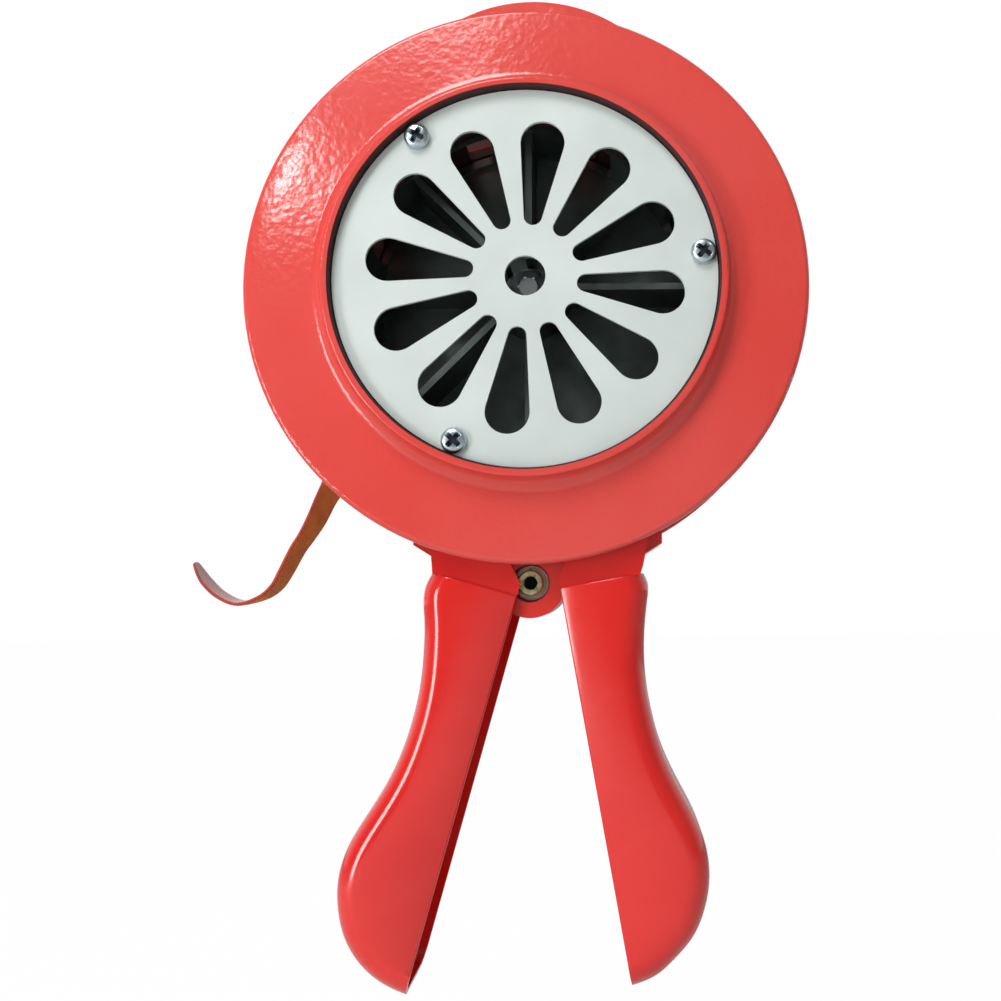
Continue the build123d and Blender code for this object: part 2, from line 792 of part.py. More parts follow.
# ---- crank: shaft, washer, arm hanging down, lock washer and nut ----
crank_nut_back = crank_back + lock_washer_thickness + crank_nut_height
with BuildPart() as crank_shaft:
    with BuildSketch(station(crank_nut_back + 1)):
        Circle(crank_shaft_radius)
    extrude(amount=crank_nut_back + 1 - second_gear_front)
    chamfer(crank_shaft.faces().sort_by(Axis.Y)[-1].edges(), 0.5)
save(crank_shaft, "crank_shaft")

with BuildPart() as crank_washer:
    ring(crank_front, crank_shaft_radius + seat_gap, crank_washer_radius, crank_spacer)
save(crank_washer, "crank_washer")

with BuildPart() as crank_arm:
    with BuildSketch(station(crank_back)):
        Circle(crank_width / 2 + 1.5)
        with Locations((0, -crank_throw)):
            Circle(crank_width / 2 - 1.5)
        make_hull()
        Circle(crank_shaft_radius + seat_gap, mode=Mode.SUBTRACT)
        with Locations((0, -crank_throw)):
            Circle(knob_pin_radius + seat_gap, mode=Mode.SUBTRACT)
    extrude(amount=crank_thickness)
    arm_rims = [face.outer_wire().edges() for face in crank_arm.faces().filter_by(Axis.Y)]
    fillet(arm_rims[0] + arm_rims[1], 0.8)
save(crank_arm, "crank_arm")

with BuildPart() as crank_lock_washer:
    with BuildSketch(station(crank_back + lock_washer_thickness)):
        Circle(crank_nut_width / 2 - 0.2)
        Circle(crank_shaft_radius + seat_gap, mode=Mode.SUBTRACT)
        with Locations(Location((5.3, 0, 0), 12)):
            Rectangle(4.4, 0.6, mode=Mode.SUBTRACT)
    extrude(amount=lock_washer_thickness)
save(crank_lock_washer, "crank_lock_washer")

with BuildPart() as crank_nut:
    with BuildSketch(station(crank_nut_back)):
        RegularPolygon(crank_nut_width / 2, 6, major_radius=False)
        Circle(crank_shaft_radius + seat_gap, mode=Mode.SUBTRACT)
    extrude(amount=crank_nut_height)
save(crank_nut, "crank_nut")

# ---- turning knob of the crank on its riveted pin ----
knob_seat = knob_back - 3.0
with BuildPart() as knob_pin:
    with BuildSketch(station(knob_seat)):
        with Locations((0, -crank_throw)):
            Circle(knob_pin_radius)
    extrude(amount=knob_seat - crank_front + 1.0)
    ring(crank_front, knob_pin_radius - 0.5, knob_head_radius, 1.0, z=-crank_throw)
    ring(knob_seat + 0.3 + knob_head_height, 0, knob_head_radius, knob_head_height, z=-crank_throw)
    with BuildSketch(station(knob_seat + 0.3)):
        with Locations((0, -crank_throw)):
            Circle(knob_pin_radius)
    extrude(amount=0.3)
save(knob_pin, "knob_pin")

with BuildPart() as knob_washer:
    washer_back = crank_back + knob_washer_thickness
    ring(
        washer_back, knob_pin_radius + seat_gap, knob_pin_radius + 3, knob_washer_thickness,
        z=-crank_throw,
    )
save(knob_washer, "knob_washer")

with BuildPart() as knob:
    with BuildSketch(section_at(0, -crank_throw)):
        with BuildLine():
            bore = knob_pin_radius + running_gap
            Polyline(
                (knob_seat, knob_head_radius + 0.4),
                (knob_seat, bore),
                (knob_front, bore),
                (knob_front, knob_waist - 1),
            )
            Spline(
                (knob_front, knob_waist - 1),
                (knob_front + 1.2, knob_waist),
                (knob_front + 8, knob_waist + 0.5),
                (knob_front + 20, knob_radius - 1),
                (knob_front + 29, knob_radius),
                (knob_back - 2.4, knob_radius - 2.2),
                (knob_back, knob_radius - 4.8),
            )
            Polyline(
                (knob_back, knob_radius - 4.8),
                (knob_back, knob_head_radius + 0.4),
                (knob_seat, knob_head_radius + 0.4),
            )
        make_face()
    revolve(axis=axis_at(0, -crank_throw))
save(knob, "knob")


# ---- grip halves: hollow, open towards each other and at the top, with two ears each ----
def hinge_plane(x, side, opening):
    """The middle plane of a grip half at its pin: x outward, y up along the half."""
    tilt = radians(opening)
    outward = (side * cos(tilt), 0, sin(tilt))
    return Plane(origin=point(x, grip_middle, -hinge_drop), x_dir=outward, z_dir=(0, -side, 0))


def edge_points(inset):
    """The outer edge of a grip half moved in by inset, seen from its hinge pin."""
    places = []
    for index, (out, down) in enumerate(grip_edge):
        before = grip_edge[max(index - 1, 0)]
        after = grip_edge[min(index + 1, len(grip_edge) - 1)]
        run = (after[0] - before[0], after[1] - before[1])
        length = hypot(*run)
        out_in = out - inset * run[1] / length
        down_in = down + inset * run[0] / length
        places.append((grip_inner_edge + out_in, -grip_top - down_in))
    return places


def grip_profile(inset):
    """The side view of a grip half, past its inner and top edges by the ends of its outer edge."""
    places = edge_points(inset)
    with BuildLine() as outline:
        Spline(*places)
        Polyline(places[-1], (places[-1][0], places[0][1]), places[0])
    make_face(outline.edges())


for name, side, opening in (("left_grip", -1, left_opening), ("right_grip", 1, right_opening)):
    hinge = grip_shift + side * hinge_half_spacing
    plane = hinge_plane(hinge, side, opening)
    with BuildPart(mode=Mode.PRIVATE) as hollow:
        with BuildSketch(plane):
            grip_profile(grip_wall)
        extrude(amount=grip_depth / 2 - grip_wall, both=True)
        long_edges = hollow.edges().filter_by(GeomType.BSPLINE)
        fillet(long_edges, grip_round - grip_wall)
    with BuildPart() as half:
        with BuildSketch(plane):
            grip_profile(0)
            with Locations((grip_inner_edge, -grip_top)):
                Rectangle(80, 120, align=(Align.MIN, Align.MAX), mode=Mode.INTERSECT)
        extrude(amount=grip_depth / 2, both=True)
        fillet(half.edges().filter_by(GeomType.BSPLINE), grip_round)
        add(hollow.part, mode=Mode.SUBTRACT)
        for face in (-1, 1):
            level = plane.offset(face * (ear_inner + ear_outer) / 2)
            with BuildSketch(level):
                with BuildSketch(mode=Mode.PRIVATE) as ear:
                    Circle(ear_radius)
                    with Locations((grip_inner_edge, -grip_top - ear_lap)):
                        Rectangle(
                            hinge_half_spacing - 1.5,
                            ear_lap + ear_rise,
                            align=(Align.MIN, Align.MIN),
                        )
                    make_hull()
                add(ear.sketch)
                Circle(hinge_pin_radius + running_gap, mode=Mode.SUBTRACT)
            extrude(amount=grip_wall / 2, both=True)
    save(half, name)

# ---- hinge pins of the grip, riveted over at both ends ----
for name, x in (("left_hinge_pin", left_hinge), ("right_hinge_pin", right_hinge)):
    reach = ear_outer + 0.3
    with BuildPart() as pin:
        ring(grip_middle + reach, 0, hinge_pin_radius, 2 * reach, x, -hinge_drop)
        for back in (grip_middle + reach + hinge_head_height, grip_middle - reach):
            ring(back, 0, hinge_head_radius, hinge_head_height, x, -hinge_drop)
        fillet(pin.edges().group_by(Axis.Y)[0] + pin.edges().group_by(Axis.Y)[-1], 0.5)
    save(pin, name)


# ---- carrying strap: one thickness of leather, twisted through a quarter turn to a loose hook ----
def strap_station(step):
    """Place and twist of the strap at a step along its course, by cubic interpolation."""
    index = min(int(step), len(strap_course) - 2)
    part = step - index
    rows = [strap_course[min(max(index + n, 0), len(strap_course) - 1)] for n in (-1, 0, 1, 2)]
    weights = (
        (-part + 2 * part**2 - part**3) / 2,
        (2 - 5 * part**2 + 3 * part**3) / 2,
        (part + 4 * part**2 - 3 * part**3) / 2,
        (-part**2 + part**3) / 2,
    )
    x, z, behind, twist = (sum(w * row[n] for w, row in zip(weights, rows)) for n in range(4))
    return x, rear_face + strap_thickness / 2 + max(behind, 0), z, max(twist, 0)


with BuildPart() as carry_strap:
    steps = 2 * (len(strap_course) - 1)
    for number in range(steps + 1):
        x, depth, z, twist = strap_station(number / 2)
        before = strap_station(max(number / 2 - 0.05, 0))
        after = strap_station(min(number / 2 + 0.05, steps / 2))
        run = (after[0] - before[0], after[2] - before[2])
        length = hypot(*run)
        along = (run[0] / length, 0, run[1] / length)
        across = (
            -along[2] * cos(radians(twist)),
            sin(radians(twist)),
            along[0] * cos(radians(twist)),
        )
        with BuildSketch(Plane(origin=point(x, depth, z), x_dir=across, z_dir=along)):
            Rectangle(strap_width, strap_thickness)
    loft(ruled=True)
    with BuildSketch(station(rear_face + 2 * strap_thickness)):
        with Locations(strap_screw_place):
            Circle(strap_screw_radius + 0.3)
    extrude(amount=2 * strap_thickness, mode=Mode.SUBTRACT)
save(carry_strap, "carry_strap")

strap_back = rear_face + strap_thickness
with BuildPart() as strap_washer:
    ring(
        strap_back + strap_washer_thickness, strap_screw_radius + 0.3, strap_washer_radius,
        strap_washer_thickness, *strap_screw_place,
    )
save(strap_washer, "strap_washer")

with BuildPart() as strap_screw:
    seat = strap_back + strap_washer_thickness
    head = Plane(
        origin=point(strap_screw_place[0], seat, strap_screw_place[1]),
        x_dir=(0, -1, 0),
        z_dir=(-1, 0, 0),
    )
    with BuildSketch(head):
        with BuildLine():
            pan_head(strap_head_radius, strap_head_height)
        make_face()
    revolve(axis=axis_at(*strap_screw_place))
    ring(seat, 0, strap_screw_radius, seat - rear_face + rear_plate - 0.4, *strap_screw_place)
save(strap_screw, "strap_screw")
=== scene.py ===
import bpy
import numpy as np
from bpy.props import (
    FloatProperty, FloatVectorProperty, IntProperty, PointerProperty, StringProperty
)
from mathutils import Matrix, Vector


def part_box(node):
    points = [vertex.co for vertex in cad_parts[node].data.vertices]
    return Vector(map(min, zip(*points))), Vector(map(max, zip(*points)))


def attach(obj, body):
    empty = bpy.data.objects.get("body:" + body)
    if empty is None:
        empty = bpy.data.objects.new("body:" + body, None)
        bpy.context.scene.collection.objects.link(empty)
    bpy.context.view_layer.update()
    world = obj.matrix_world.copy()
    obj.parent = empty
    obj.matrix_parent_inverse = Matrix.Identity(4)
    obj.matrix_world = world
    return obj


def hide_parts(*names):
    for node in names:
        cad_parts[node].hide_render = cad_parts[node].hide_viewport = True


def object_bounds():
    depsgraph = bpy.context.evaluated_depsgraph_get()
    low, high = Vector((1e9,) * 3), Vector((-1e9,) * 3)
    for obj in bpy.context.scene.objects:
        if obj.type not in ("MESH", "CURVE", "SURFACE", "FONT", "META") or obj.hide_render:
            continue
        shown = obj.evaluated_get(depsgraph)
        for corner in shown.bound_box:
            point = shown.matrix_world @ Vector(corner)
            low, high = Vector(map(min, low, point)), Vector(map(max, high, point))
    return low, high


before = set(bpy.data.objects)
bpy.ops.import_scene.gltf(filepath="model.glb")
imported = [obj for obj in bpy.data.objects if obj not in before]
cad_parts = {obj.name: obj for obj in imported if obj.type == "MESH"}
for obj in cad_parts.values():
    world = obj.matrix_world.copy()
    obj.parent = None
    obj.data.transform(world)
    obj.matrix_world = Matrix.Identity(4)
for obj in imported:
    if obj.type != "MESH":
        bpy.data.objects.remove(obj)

bl_info = {
    "name": "Hand crank siren",
    "version": (1, 0, 0),
    "blender": (4, 5, 0),
    "location": "3D View > Sidebar > Siren",
    "description": "Dresses a hand cranked siren: enamel, bare metal, screws, leather strap and studio",
    "category": "Add Mesh",
}

CAD_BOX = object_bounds()
MM = 0.001
AXIS = 80.8 * MM  # height of the siren's axis above its grip lug, which is at 0
REAR_FACE = 18.1 * MM  # back of the rear flange


# ---- shared helpers ----


def linear(code):
    """A colour written as an sRGB hex value, as linear red, green, blue and full opacity."""
    code = code.lstrip("#")
    parts = np.array([int(code[n:n + 2], 16) for n in (0, 2, 4)]) / 255
    parts = np.where(parts > 0.04045, ((parts + 0.055) / 1.055) ** 2.4, parts / 12.92)
    return (*parts.tolist(), 1.0)


def add(tree, kind, links=(), **settings):
    """Adds one node. Settings are its properties, or its inputs where the name is an input's.
    Links are pairs of an input's name or number and the output socket that feeds it."""
    made = tree.nodes.new(kind)
    for name, value in settings.items():
        if hasattr(made, name):
            setattr(made, name, value)
    for name, value in settings.items():
        if not hasattr(made, name):
            made.inputs[name.replace("_", " ")].default_value = value
    for name, socket in links:
        tree.links.new(socket, made.inputs[name])
    return made


def new_material(name, colour, roughness, metallic=0.0, **sockets):
    """A material with one Principled shader. Returns it with its tree, shader and coordinates."""
    material = bpy.data.materials.new(name)
    material.use_nodes = True
    tree = material.node_tree
    shader = tree.nodes["Principled BSDF"]
    shader.inputs["Base Color"].default_value = linear(colour)
    shader.inputs["Roughness"].default_value = roughness
    shader.inputs["Metallic"].default_value = metallic
    for name, value in sockets.items():
        shader.inputs[name.replace("_", " ")].default_value = value
    material.diffuse_color = linear(colour)
    return material, tree, shader, add(tree, "ShaderNodeTexCoord").outputs["Object"]


def mottle(tree, shader, place, colours, size, rough=None, detail=3.0):
    """Two colours in soft patches, and two roughnesses if given. Size is a patch in metres."""
    patches = add(tree, "ShaderNodeTexNoise", [("Vector", place)], Scale=1 / size, Detail=detail)
    ramp = add(tree, "ShaderNodeValToRGB", [("Fac", patches.outputs["Fac"])])
    ramp.color_ramp.elements[0].position = 0.35
    ramp.color_ramp.elements[1].position = 0.68
    ramp.color_ramp.elements[0].color = linear(colours[0])
    ramp.color_ramp.elements[1].color = linear(colours[1])
    tree.links.new(ramp.outputs["Color"], shader.inputs["Base Color"])
    if rough:
        spread = add(
            tree, "ShaderNodeMapRange", [("Value", patches.outputs["Fac"])],
            From_Min=0.3, From_Max=0.7, To_Min=rough[0], To_Max=rough[1],
        )
        tree.links.new(spread.outputs["Result"], shader.inputs["Roughness"])
    return ramp


def relief(tree, shader, place, size, height, detail=2.0):
    """A fine bump all over. Size is one grain and height its rise, in metres."""
    grain = add(tree, "ShaderNodeTexNoise", [("Vector", place)], Scale=1 / size, Detail=detail)
    bump = add(
        tree, "ShaderNodeBump", [("Height", grain.outputs["Fac"])],
        Strength=1.0, Distance=height,
    )
    tree.links.new(bump.outputs["Normal"], shader.inputs["Normal"])


def outward(points, faces):
    """The faces of one closed shell, turned round where they enclose a negative volume."""
    a, b, c = (points[faces[:, n]] for n in (0, 1, 2))
    volume = np.einsum("ij,ij->", a, np.cross(b, c))
    if faces.shape[1] == 4:
        volume += np.einsum("ij,ij->", a, np.cross(c, points[faces[:, 3]]))
    return faces if volume > 0 else faces[:, ::-1]


def put(name, shells, material, body, node, crisp):
    """Joins closed shells, pairs of points and faces, into one piece that rides on a body,
    replaces a CAD node, and is smooth but for corners sharper than an angle in degrees."""
    count, points, faces = 0, [], []
    for shell, quads in shells:
        points.append(shell)
        faces += (quads + count).tolist()
        count += len(shell)
    mesh = bpy.data.meshes.new(name)
    mesh.from_pydata(np.concatenate(points).tolist(), [], faces)
    mesh.polygons.foreach_set("use_smooth", np.full(len(mesh.polygons), True))
    mesh.set_sharp_from_angle(angle=np.radians(crisp))
    mesh.materials.append(material)
    made = bpy.data.objects.new(name, mesh)
    bpy.context.scene.collection.objects.link(made)
    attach(made, body)
    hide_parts(node)


def ring_faces(rings, sides):
    """Quads of a tube of closed rings, and of the two strips that close its ends, where each
    ring runs out along one face of a shell and back along the other."""
    r, n = np.meshgrid(np.arange(rings - 1), np.arange(sides), indexing="ij")
    m = (n + 1) % sides
    body = np.stack([r * sides + n, r * sides + m, (r + 1) * sides + m, (r + 1) * sides + n], -1)
    n = np.arange(sides // 2 - 1)
    ends = []
    for ring, way in ((0, -1), (rings - 1, 1)):
        strip = np.stack([n, n + 1, sides - 2 - n, sides - 1 - n], -1) + ring * sides
        ends.append(strip[:, ::way])
    return np.concatenate([body.reshape(-1, 4), *ends])


def tube_faces(rings, sides):
    """Quads between rings of a closed outline, with both ends closed by a fan to a pole.
    The two poles are the last two points."""
    r, s = np.meshgrid(np.arange(rings - 1), np.arange(sides), indexing="ij")
    n = (s + 1) % sides
    quads = np.stack([r * sides + s, r * sides + n, (r + 1) * sides + n, (r + 1) * sides + s], -1)
    s = np.arange(sides)
    n = (s + 1) % sides
    first, last = rings * sides, rings * sides + 1
    end = (rings - 1) * sides
    start_cap = np.stack([n, s, np.full(sides, first)], -1)
    end_cap = np.stack([end + s, end + n, np.full(sides, last)], -1)
    return quads.reshape(-1, 4), np.concatenate([start_cap, end_cap])


def soften(obj, degrees=32):
    """Shows a CAD node with rounded faces smooth and corners sharper than the angle crisp,
    by modifiers alone: doubles are merged, then edges under the angle are shaded smooth."""
    group = bpy.data.node_groups.get("smooth below angle")
    if group is None:
        group = bpy.data.node_groups.new("smooth below angle", "GeometryNodeTree")
        group.is_modifier = True
        for way in ("INPUT", "OUTPUT"):
            group.interface.new_socket("Geometry", in_out=way, socket_type="NodeSocketGeometry")
        start = add(group, "NodeGroupInput")
        merge = add(
            group, "GeometryNodeMergeByDistance", [("Geometry", start.outputs[0])], Distance=2e-6
        )
        angle = add(group, "GeometryNodeInputMeshEdgeAngle")
        below = add(
            group, "FunctionNodeCompare", [(0, angle.outputs["Unsigned Angle"])],
            data_type="FLOAT", operation="LESS_THAN",
        )
        below.inputs[1].default_value = np.radians(degrees)
        faces = add(
            group, "GeometryNodeSetShadeSmooth", [("Geometry", merge.outputs["Geometry"])],
            domain="FACE",
        )
        edges = add(
            group, "GeometryNodeSetShadeSmooth",
            [("Geometry", faces.outputs[0]), ("Shade Smooth", below.outputs[0])], domain="EDGE",
        )
        add(group, "NodeGroupOutput", [(0, edges.outputs[0])])
    obj.modifiers.new("smooth below angle", "NODES").node_group = group
    even = obj.modifiers.new("even normals", "WEIGHTED_NORMAL")
    even.keep_sharp = True
    even.weight = 80


def dress(material, *names):
    """Gives CAD nodes a material, and smooth rounded faces."""
    for name in names:
        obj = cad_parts[name]
        obj.data.materials.clear()
        obj.data.materials.append(material)
        soften(obj)


# ---- settings ----


class SirenColours(bpy.types.PropertyGroup):
    """Colours of the finishes, as sRGB hex values."""

    # the flange's red is paler and pinker than the body's red: that difference is a painted sheen
    enamel: StringProperty(name="Enamel", description="Red of the castings", default="#D8433B")
    enamel_faded: StringProperty(
        name="Faded enamel", description="Patches where the red has gone paler", default="#DB4E48"
    )
    body: StringProperty(
        name="Body", description="Deeper red of drum and casing", default="#CB2A22"
    )
    body_faded: StringProperty(
        name="Faded body", description="Patches where the deeper red has gone paler",
        default="#D2332B",
    )
    grip: StringProperty(
        name="Grip", description="Glossy red of the grip halves", default="#D5150F"
    )
    grip_light: StringProperty(
        name="Grip, light", description="Lighter streaks on the grip halves", default="#DA221B"
    )
    grille: StringProperty(name="Grille", description="Pale paint of the grille", default="#CFD8D4")
    grille_aged: StringProperty(
        name="Grille, aged", description="Greyer patches of the grille", default="#C5CECA"
    )
    zinc: StringProperty(
        name="Zinc", description="Clear zinc on screws and washers", default="#D3E2E8"
    )
    yellow_zinc: StringProperty(
        name="Yellow zinc", description="Yellow passivated zinc of the lug screw", default="#B9AA7C"
    )
    # darker than fresh cast aluminium: its own grey green, and painted shade for the rotor inside the
    # drum
    casting: StringProperty(name="Casting", description="Bare cast aluminium", default="#78817D")
    leather_flesh: StringProperty(
        name="Leather, flesh side", description="Rough brown side of the strap", default="#C9762F"
    )
    leather_coat: StringProperty(
        name="Leather, coated side", description="Red coated side of the strap", default="#B5322A"
    )


class SirenScrews(bpy.types.PropertyGroup):
    """Sizes of the cross recessed pan head screws."""

    head: FloatProperty(
        name="Head", description="Radius of the head", default=3.45 * MM, unit="LENGTH"
    )
    rise: FloatProperty(
        name="Rise", description="Height of the head", default=2.2 * MM, unit="LENGTH"
    )
    wing: FloatProperty(
        name="Wing", description="Half the span of the cross recess", default=2.35 * MM, unit="LENGTH"
    )
    slot: FloatProperty(
        name="Slot", description="Half the width of a wing of the recess", default=0.6 * MM,
        unit="LENGTH",
    )
    depth: FloatProperty(
        name="Depth", description="Depth of the recess", default=1.6 * MM, unit="LENGTH"
    )
    pitch: FloatProperty(name="Pitch", description="Thread pitch", default=0.7 * MM, unit="LENGTH")
    sides: IntProperty(name="Sides", description="Points round a head", default=72, min=24)


class SirenGrip(bpy.types.PropertyGroup):
    """Sizes of the pressed grip halves."""

    depth: FloatProperty(
        name="Depth", description="Depth of a half, front to back", default=28.6 * MM, unit="LENGTH"
    )
    rounding: FloatProperty(
        name="Rounding", description="Radius along the outer edge", default=6.5 * MM, unit="LENGTH"
    )
    wall: FloatProperty(
        name="Wall", description="Thickness of the sheet", default=1.6 * MM, unit="LENGTH"
    )


class SirenStrap(bpy.types.PropertyGroup):
    """Sizes of the leather strap."""

    width: FloatProperty(
        name="Width", description="Width of the strap", default=8 * MM, unit="LENGTH"
    )
    thickness: FloatProperty(
        name="Thickness", description="Thickness of the strap", default=1.3 * MM, unit="LENGTH"
    )
    curl: FloatProperty(
        name="Curl", description="Rise of the edges towards the coated side", default=0.15 * MM,
        unit="LENGTH",
    )


class SirenStage(bpy.types.PropertyGroup):
    """Camera, lamps and floor."""

    lens: FloatProperty(
        name="Lens", description="Focal length on a 36 mm sensor", default=35.964, unit="CAMERA"
    )
    eye: FloatVectorProperty(
        name="Eye", description="Where the camera stands", default=(0.0235, -0.2797, -0.0022),
        unit="LENGTH",
    )
    ahead: FloatVectorProperty(
        name="Ahead", description="The way the camera looks", default=(0.0041, 0.996, 0.0896),
        subtype="DIRECTION",
    )
    shift: FloatProperty(
        name="Shift", description="Sideways shift of the frame, in frame widths", default=-0.1194
    )
    key: FloatProperty(
        name="Key", description="Power of the large soft lamp", default=14.5, unit="POWER"
    )
    window: FloatProperty(
        name="Window", description="Power of the small lamp high on the left", default=1.5, unit="POWER"
    )
    strip: FloatProperty(
        name="Strip", description="Power of the narrow lamp on the left", default=5.5, unit="POWER"
    )
    room: FloatProperty(name="Room", description="Strength of the light all round", default=0.29)


# ---- finishes ----


def axis_reach(tree, place, x, z):
    """How far a point lies from a line along Y through x and z."""
    away = add(tree, "ShaderNodeVectorMath", [(0, place)], operation="SUBTRACT")
    away.inputs[1].default_value = (x, 0, z)
    flat = add(tree, "ShaderNodeVectorMath", [(0, away.outputs[0])], operation="MULTIPLY")
    flat.inputs[1].default_value = (1, 0, 1)
    return add(
        tree, "ShaderNodeVectorMath", [(0, flat.outputs[0])], operation="LENGTH"
    ).outputs["Value"]


COLLAR_SHADE = 51.75 * MM  # how far from the axis the painted shade reaches, inside the collar
DRUM_SHADE = 49.5 * MM  # and inside the drum
CASING_SHADE = 8.0 * MM  # and how much further where the rear casing meets the drum


def painted_hollow_shade(tree, place):
    """1 where shade is painted, and 0 elsewhere: inside the collar, inside the drum, and
    where the rear casing meets the drum, each out to its own radius."""
    depth = add(tree, "ShaderNodeSeparateXYZ", [(0, place)]).outputs["Y"]
    groove = add(
        tree, "ShaderNodeMapRange", [("Value", depth)], From_Min=-15.2 * MM, From_Max=-14.4 * MM,
        To_Min=COLLAR_SHADE, To_Max=DRUM_SHADE,
    )
    foot = add(
        tree, "ShaderNodeMapRange", [("Value", depth)], From_Min=14.0 * MM, From_Max=14.6 * MM,
        To_Min=0.0, To_Max=CASING_SHADE,
    )
    limit = add(
        tree, "ShaderNodeMath", [(0, groove.outputs[0]), (1, foot.outputs[0])], operation="ADD"
    )
    reach = axis_reach(tree, place, 0, AXIS)
    near = add(
        tree, "ShaderNodeMath", [(0, reach), (1, limit.outputs[0])], operation="LESS_THAN"
    ).outputs[0]
    before = add(tree, "ShaderNodeMath", [(0, depth)], operation="LESS_THAN")
    before.inputs[1].default_value = 15.5 * MM
    return add(
        tree, "ShaderNodeMath", [(0, near), (1, before.outputs[0])], operation="MULTIPLY"
    ).outputs[0]


def casting_enamel(name, colour, faded):
    """Stoved gloss enamel, sprayed thick on a casting: a red whose orange peel breaks up the
    lamps into flecks. Inside the collar and the drum a dark red is painted as shade, and is rougher."""
    made, tree, shader, place = new_material(name, colour, 0.17)
    ramp = mottle(tree, shader, place, (colour, faded), 0.05)
    hollow = painted_hollow_shade(tree, place)
    # painted shade: a dark red mixed in inside the collar, the drum and where the rear casing meets the
    # drum
    bare = add(
        tree, "ShaderNodeMix", [(0, hollow), (6, ramp.outputs["Color"])], data_type="RGBA"
    )
    bare.inputs[7].default_value = linear("#35100D")
    tree.links.new(bare.outputs[2], shader.inputs["Base Color"])
    dull = add(tree, "ShaderNodeMapRange", [("Value", hollow)], To_Min=0.17, To_Max=0.75)
    tree.links.new(dull.outputs["Result"], shader.inputs["Roughness"])
    # orange peel of thick enamel is about 2 mm from crest to crest
    relief(tree, shader, place, 2.0 * MM, 0.08 * MM, 1.0)
    return made


def gloss_enamel(colours):
    """Dipped gloss enamel on pressed steel: a wet red that shows lamps as lines."""
    made, tree, shader, place = new_material(
        "dipped gloss enamel", colours.grip, 0.2, Coat_Weight=0.35, Coat_Roughness=0.05
    )
    mottle(tree, shader, place, (colours.grip, colours.grip_light), 0.03, (0.13, 0.2))
    # slow waves where the enamel ran, about 12 mm long
    relief(tree, shader, place, 12 * MM, 0.03 * MM, 0.0)
    return made


def pale_paint(colours):
    """Matt paint sprayed on sheet steel, a little aged."""
    made, tree, shader, place = new_material("matt sprayed paint", colours.grille, 0.5)
    mottle(tree, shader, place, (colours.grille_aged, colours.grille), 0.025, (0.45, 0.58))
    relief(tree, shader, place, 0.6 * MM, 0.012 * MM)
    return made


def metal(name, colour, darker, roughness, patch, grain=0.4 * MM, rise=0.01 * MM):
    """A bare or plated metal with duller patches of a given size and a fine grain."""
    made, tree, shader, place = new_material(name, colour, roughness, 1.0)
    mottle(tree, shader, place, (darker, colour), patch, (roughness - 0.06, roughness + 0.1))
    relief(tree, shader, place, grain, rise)
    return made


def turned_metal(name, colour, roughness, ridge=5 * MM):
    """Turned steel: shallow ridges round the siren's axis, a given distance apart. A wave node
    has one band every 0.314 / Scale."""
    made, tree, shader, place = new_material(name, colour, roughness, 1.0)
    rings = add(
        tree, "ShaderNodeTexWave", [("Vector", place)], wave_type="BANDS", bands_direction="Y",
        Scale=0.314 / ridge, Distortion=0.4, Detail=1.0,
    )
    bump = add(
        tree, "ShaderNodeBump", [("Height", rings.outputs["Fac"])], Strength=0.5, Distance=0.01 * MM
    )
    tree.links.new(bump.outputs["Normal"], shader.inputs["Normal"])
    return made


def leather(name, colour, darker, roughness, pore, rise, coat=0.0):
    """Tanned leather: uneven dye and pores of a given size in metres."""
    made, tree, shader, place = new_material(name, colour, roughness, Coat_Weight=coat)
    mottle(tree, shader, place, (darker, colour), 0.006, (roughness - 0.08, roughness + 0.1), 6.0)
    cells = add(tree, "ShaderNodeTexVoronoi", [("Vector", place)], Scale=1 / pore)
    bump = add(
        tree, "ShaderNodeBump", [("Height", cells.outputs["Distance"])], Strength=0.6, Distance=rise
    )
    tree.links.new(bump.outputs["Normal"], shader.inputs["Normal"])
    return made


# ---- operators ----


class SIREN_OT_castings(bpy.types.Operator):
    """Enamel the front flange, the drum with its neck, the rear casing and the gear cover"""

    bl_idname = "siren.castings"
    bl_label = "Castings"

    def execute(self, context):
        colours = context.scene.siren_colours
        # the front flange gets the paler, pinker copy of the red enamel, a painted sheen
        face = casting_enamel("sprayed gloss enamel", colours.enamel, colours.enamel_faded)
        body = casting_enamel("gloss enamel over primer", colours.body, colours.body_faded)
        dress(face, "front_flange")
        dress(body, "stator_drum", "rear_casing", "gearbox_cover")
        return {"FINISHED"}


# the grips' own frame, in mm: out from the inner edge, down from the top edge, and depth
PIN_OUT = 25.0
PIN_RISE = 21.4  # the hinge pin above the top edge
EAR_RADIUS = 5.0
EAR_BORE = 3.1
EAR_DEPTH = 12.3
EAR_HALF_WALL = 0.8
EAR_LAP = 0.4  # the ear's bar below the top edge of the grip
EAR_RISE = 3.7  # and above it
TOP_ROUND = 0.3
HEM = 0.35  # bevel along the open edges
SQUARE_BY = 9.0  # how far down the section comes to stand square to the outer edge

# outer edge of each half: out from its inner edge, down from its top edge, in mm
LEFT_EDGE = (
    (23.9, -6.0), (24.2, 0.0), (24.9, 3.5), (24.6, 7.5), (23.1, 12.0), (21.3, 18.0), (18.95, 30.0),
    (18.4, 41.0), (19.7, 54.0), (23.0, 66.0), (25.6, 76.0), (25.5, 84.5), (23.8, 90.3), (20.1, 97.1),
    (14.1, 102.7), (8.0, 105.6), (3.0, 106.7), (-6.0, 107.1),
)
RIGHT_EDGE = (
    (22.6, -6.0), (22.7, 0.0), (23.3, 3.0), (22.6, 6.5), (20.9, 12.0), (19.4, 18.0), (17.9, 30.0),
    (18.0, 38.0), (19.1, 48.0), (22.3, 60.0), (24.9, 69.0), (25.6, 76.5), (24.4, 84.0), (22.6, 88.6),
    (18.1, 95.5), (12.0, 100.4), (6.5, 103.5), (2.3, 104.5), (-6.0, 105.0),
)


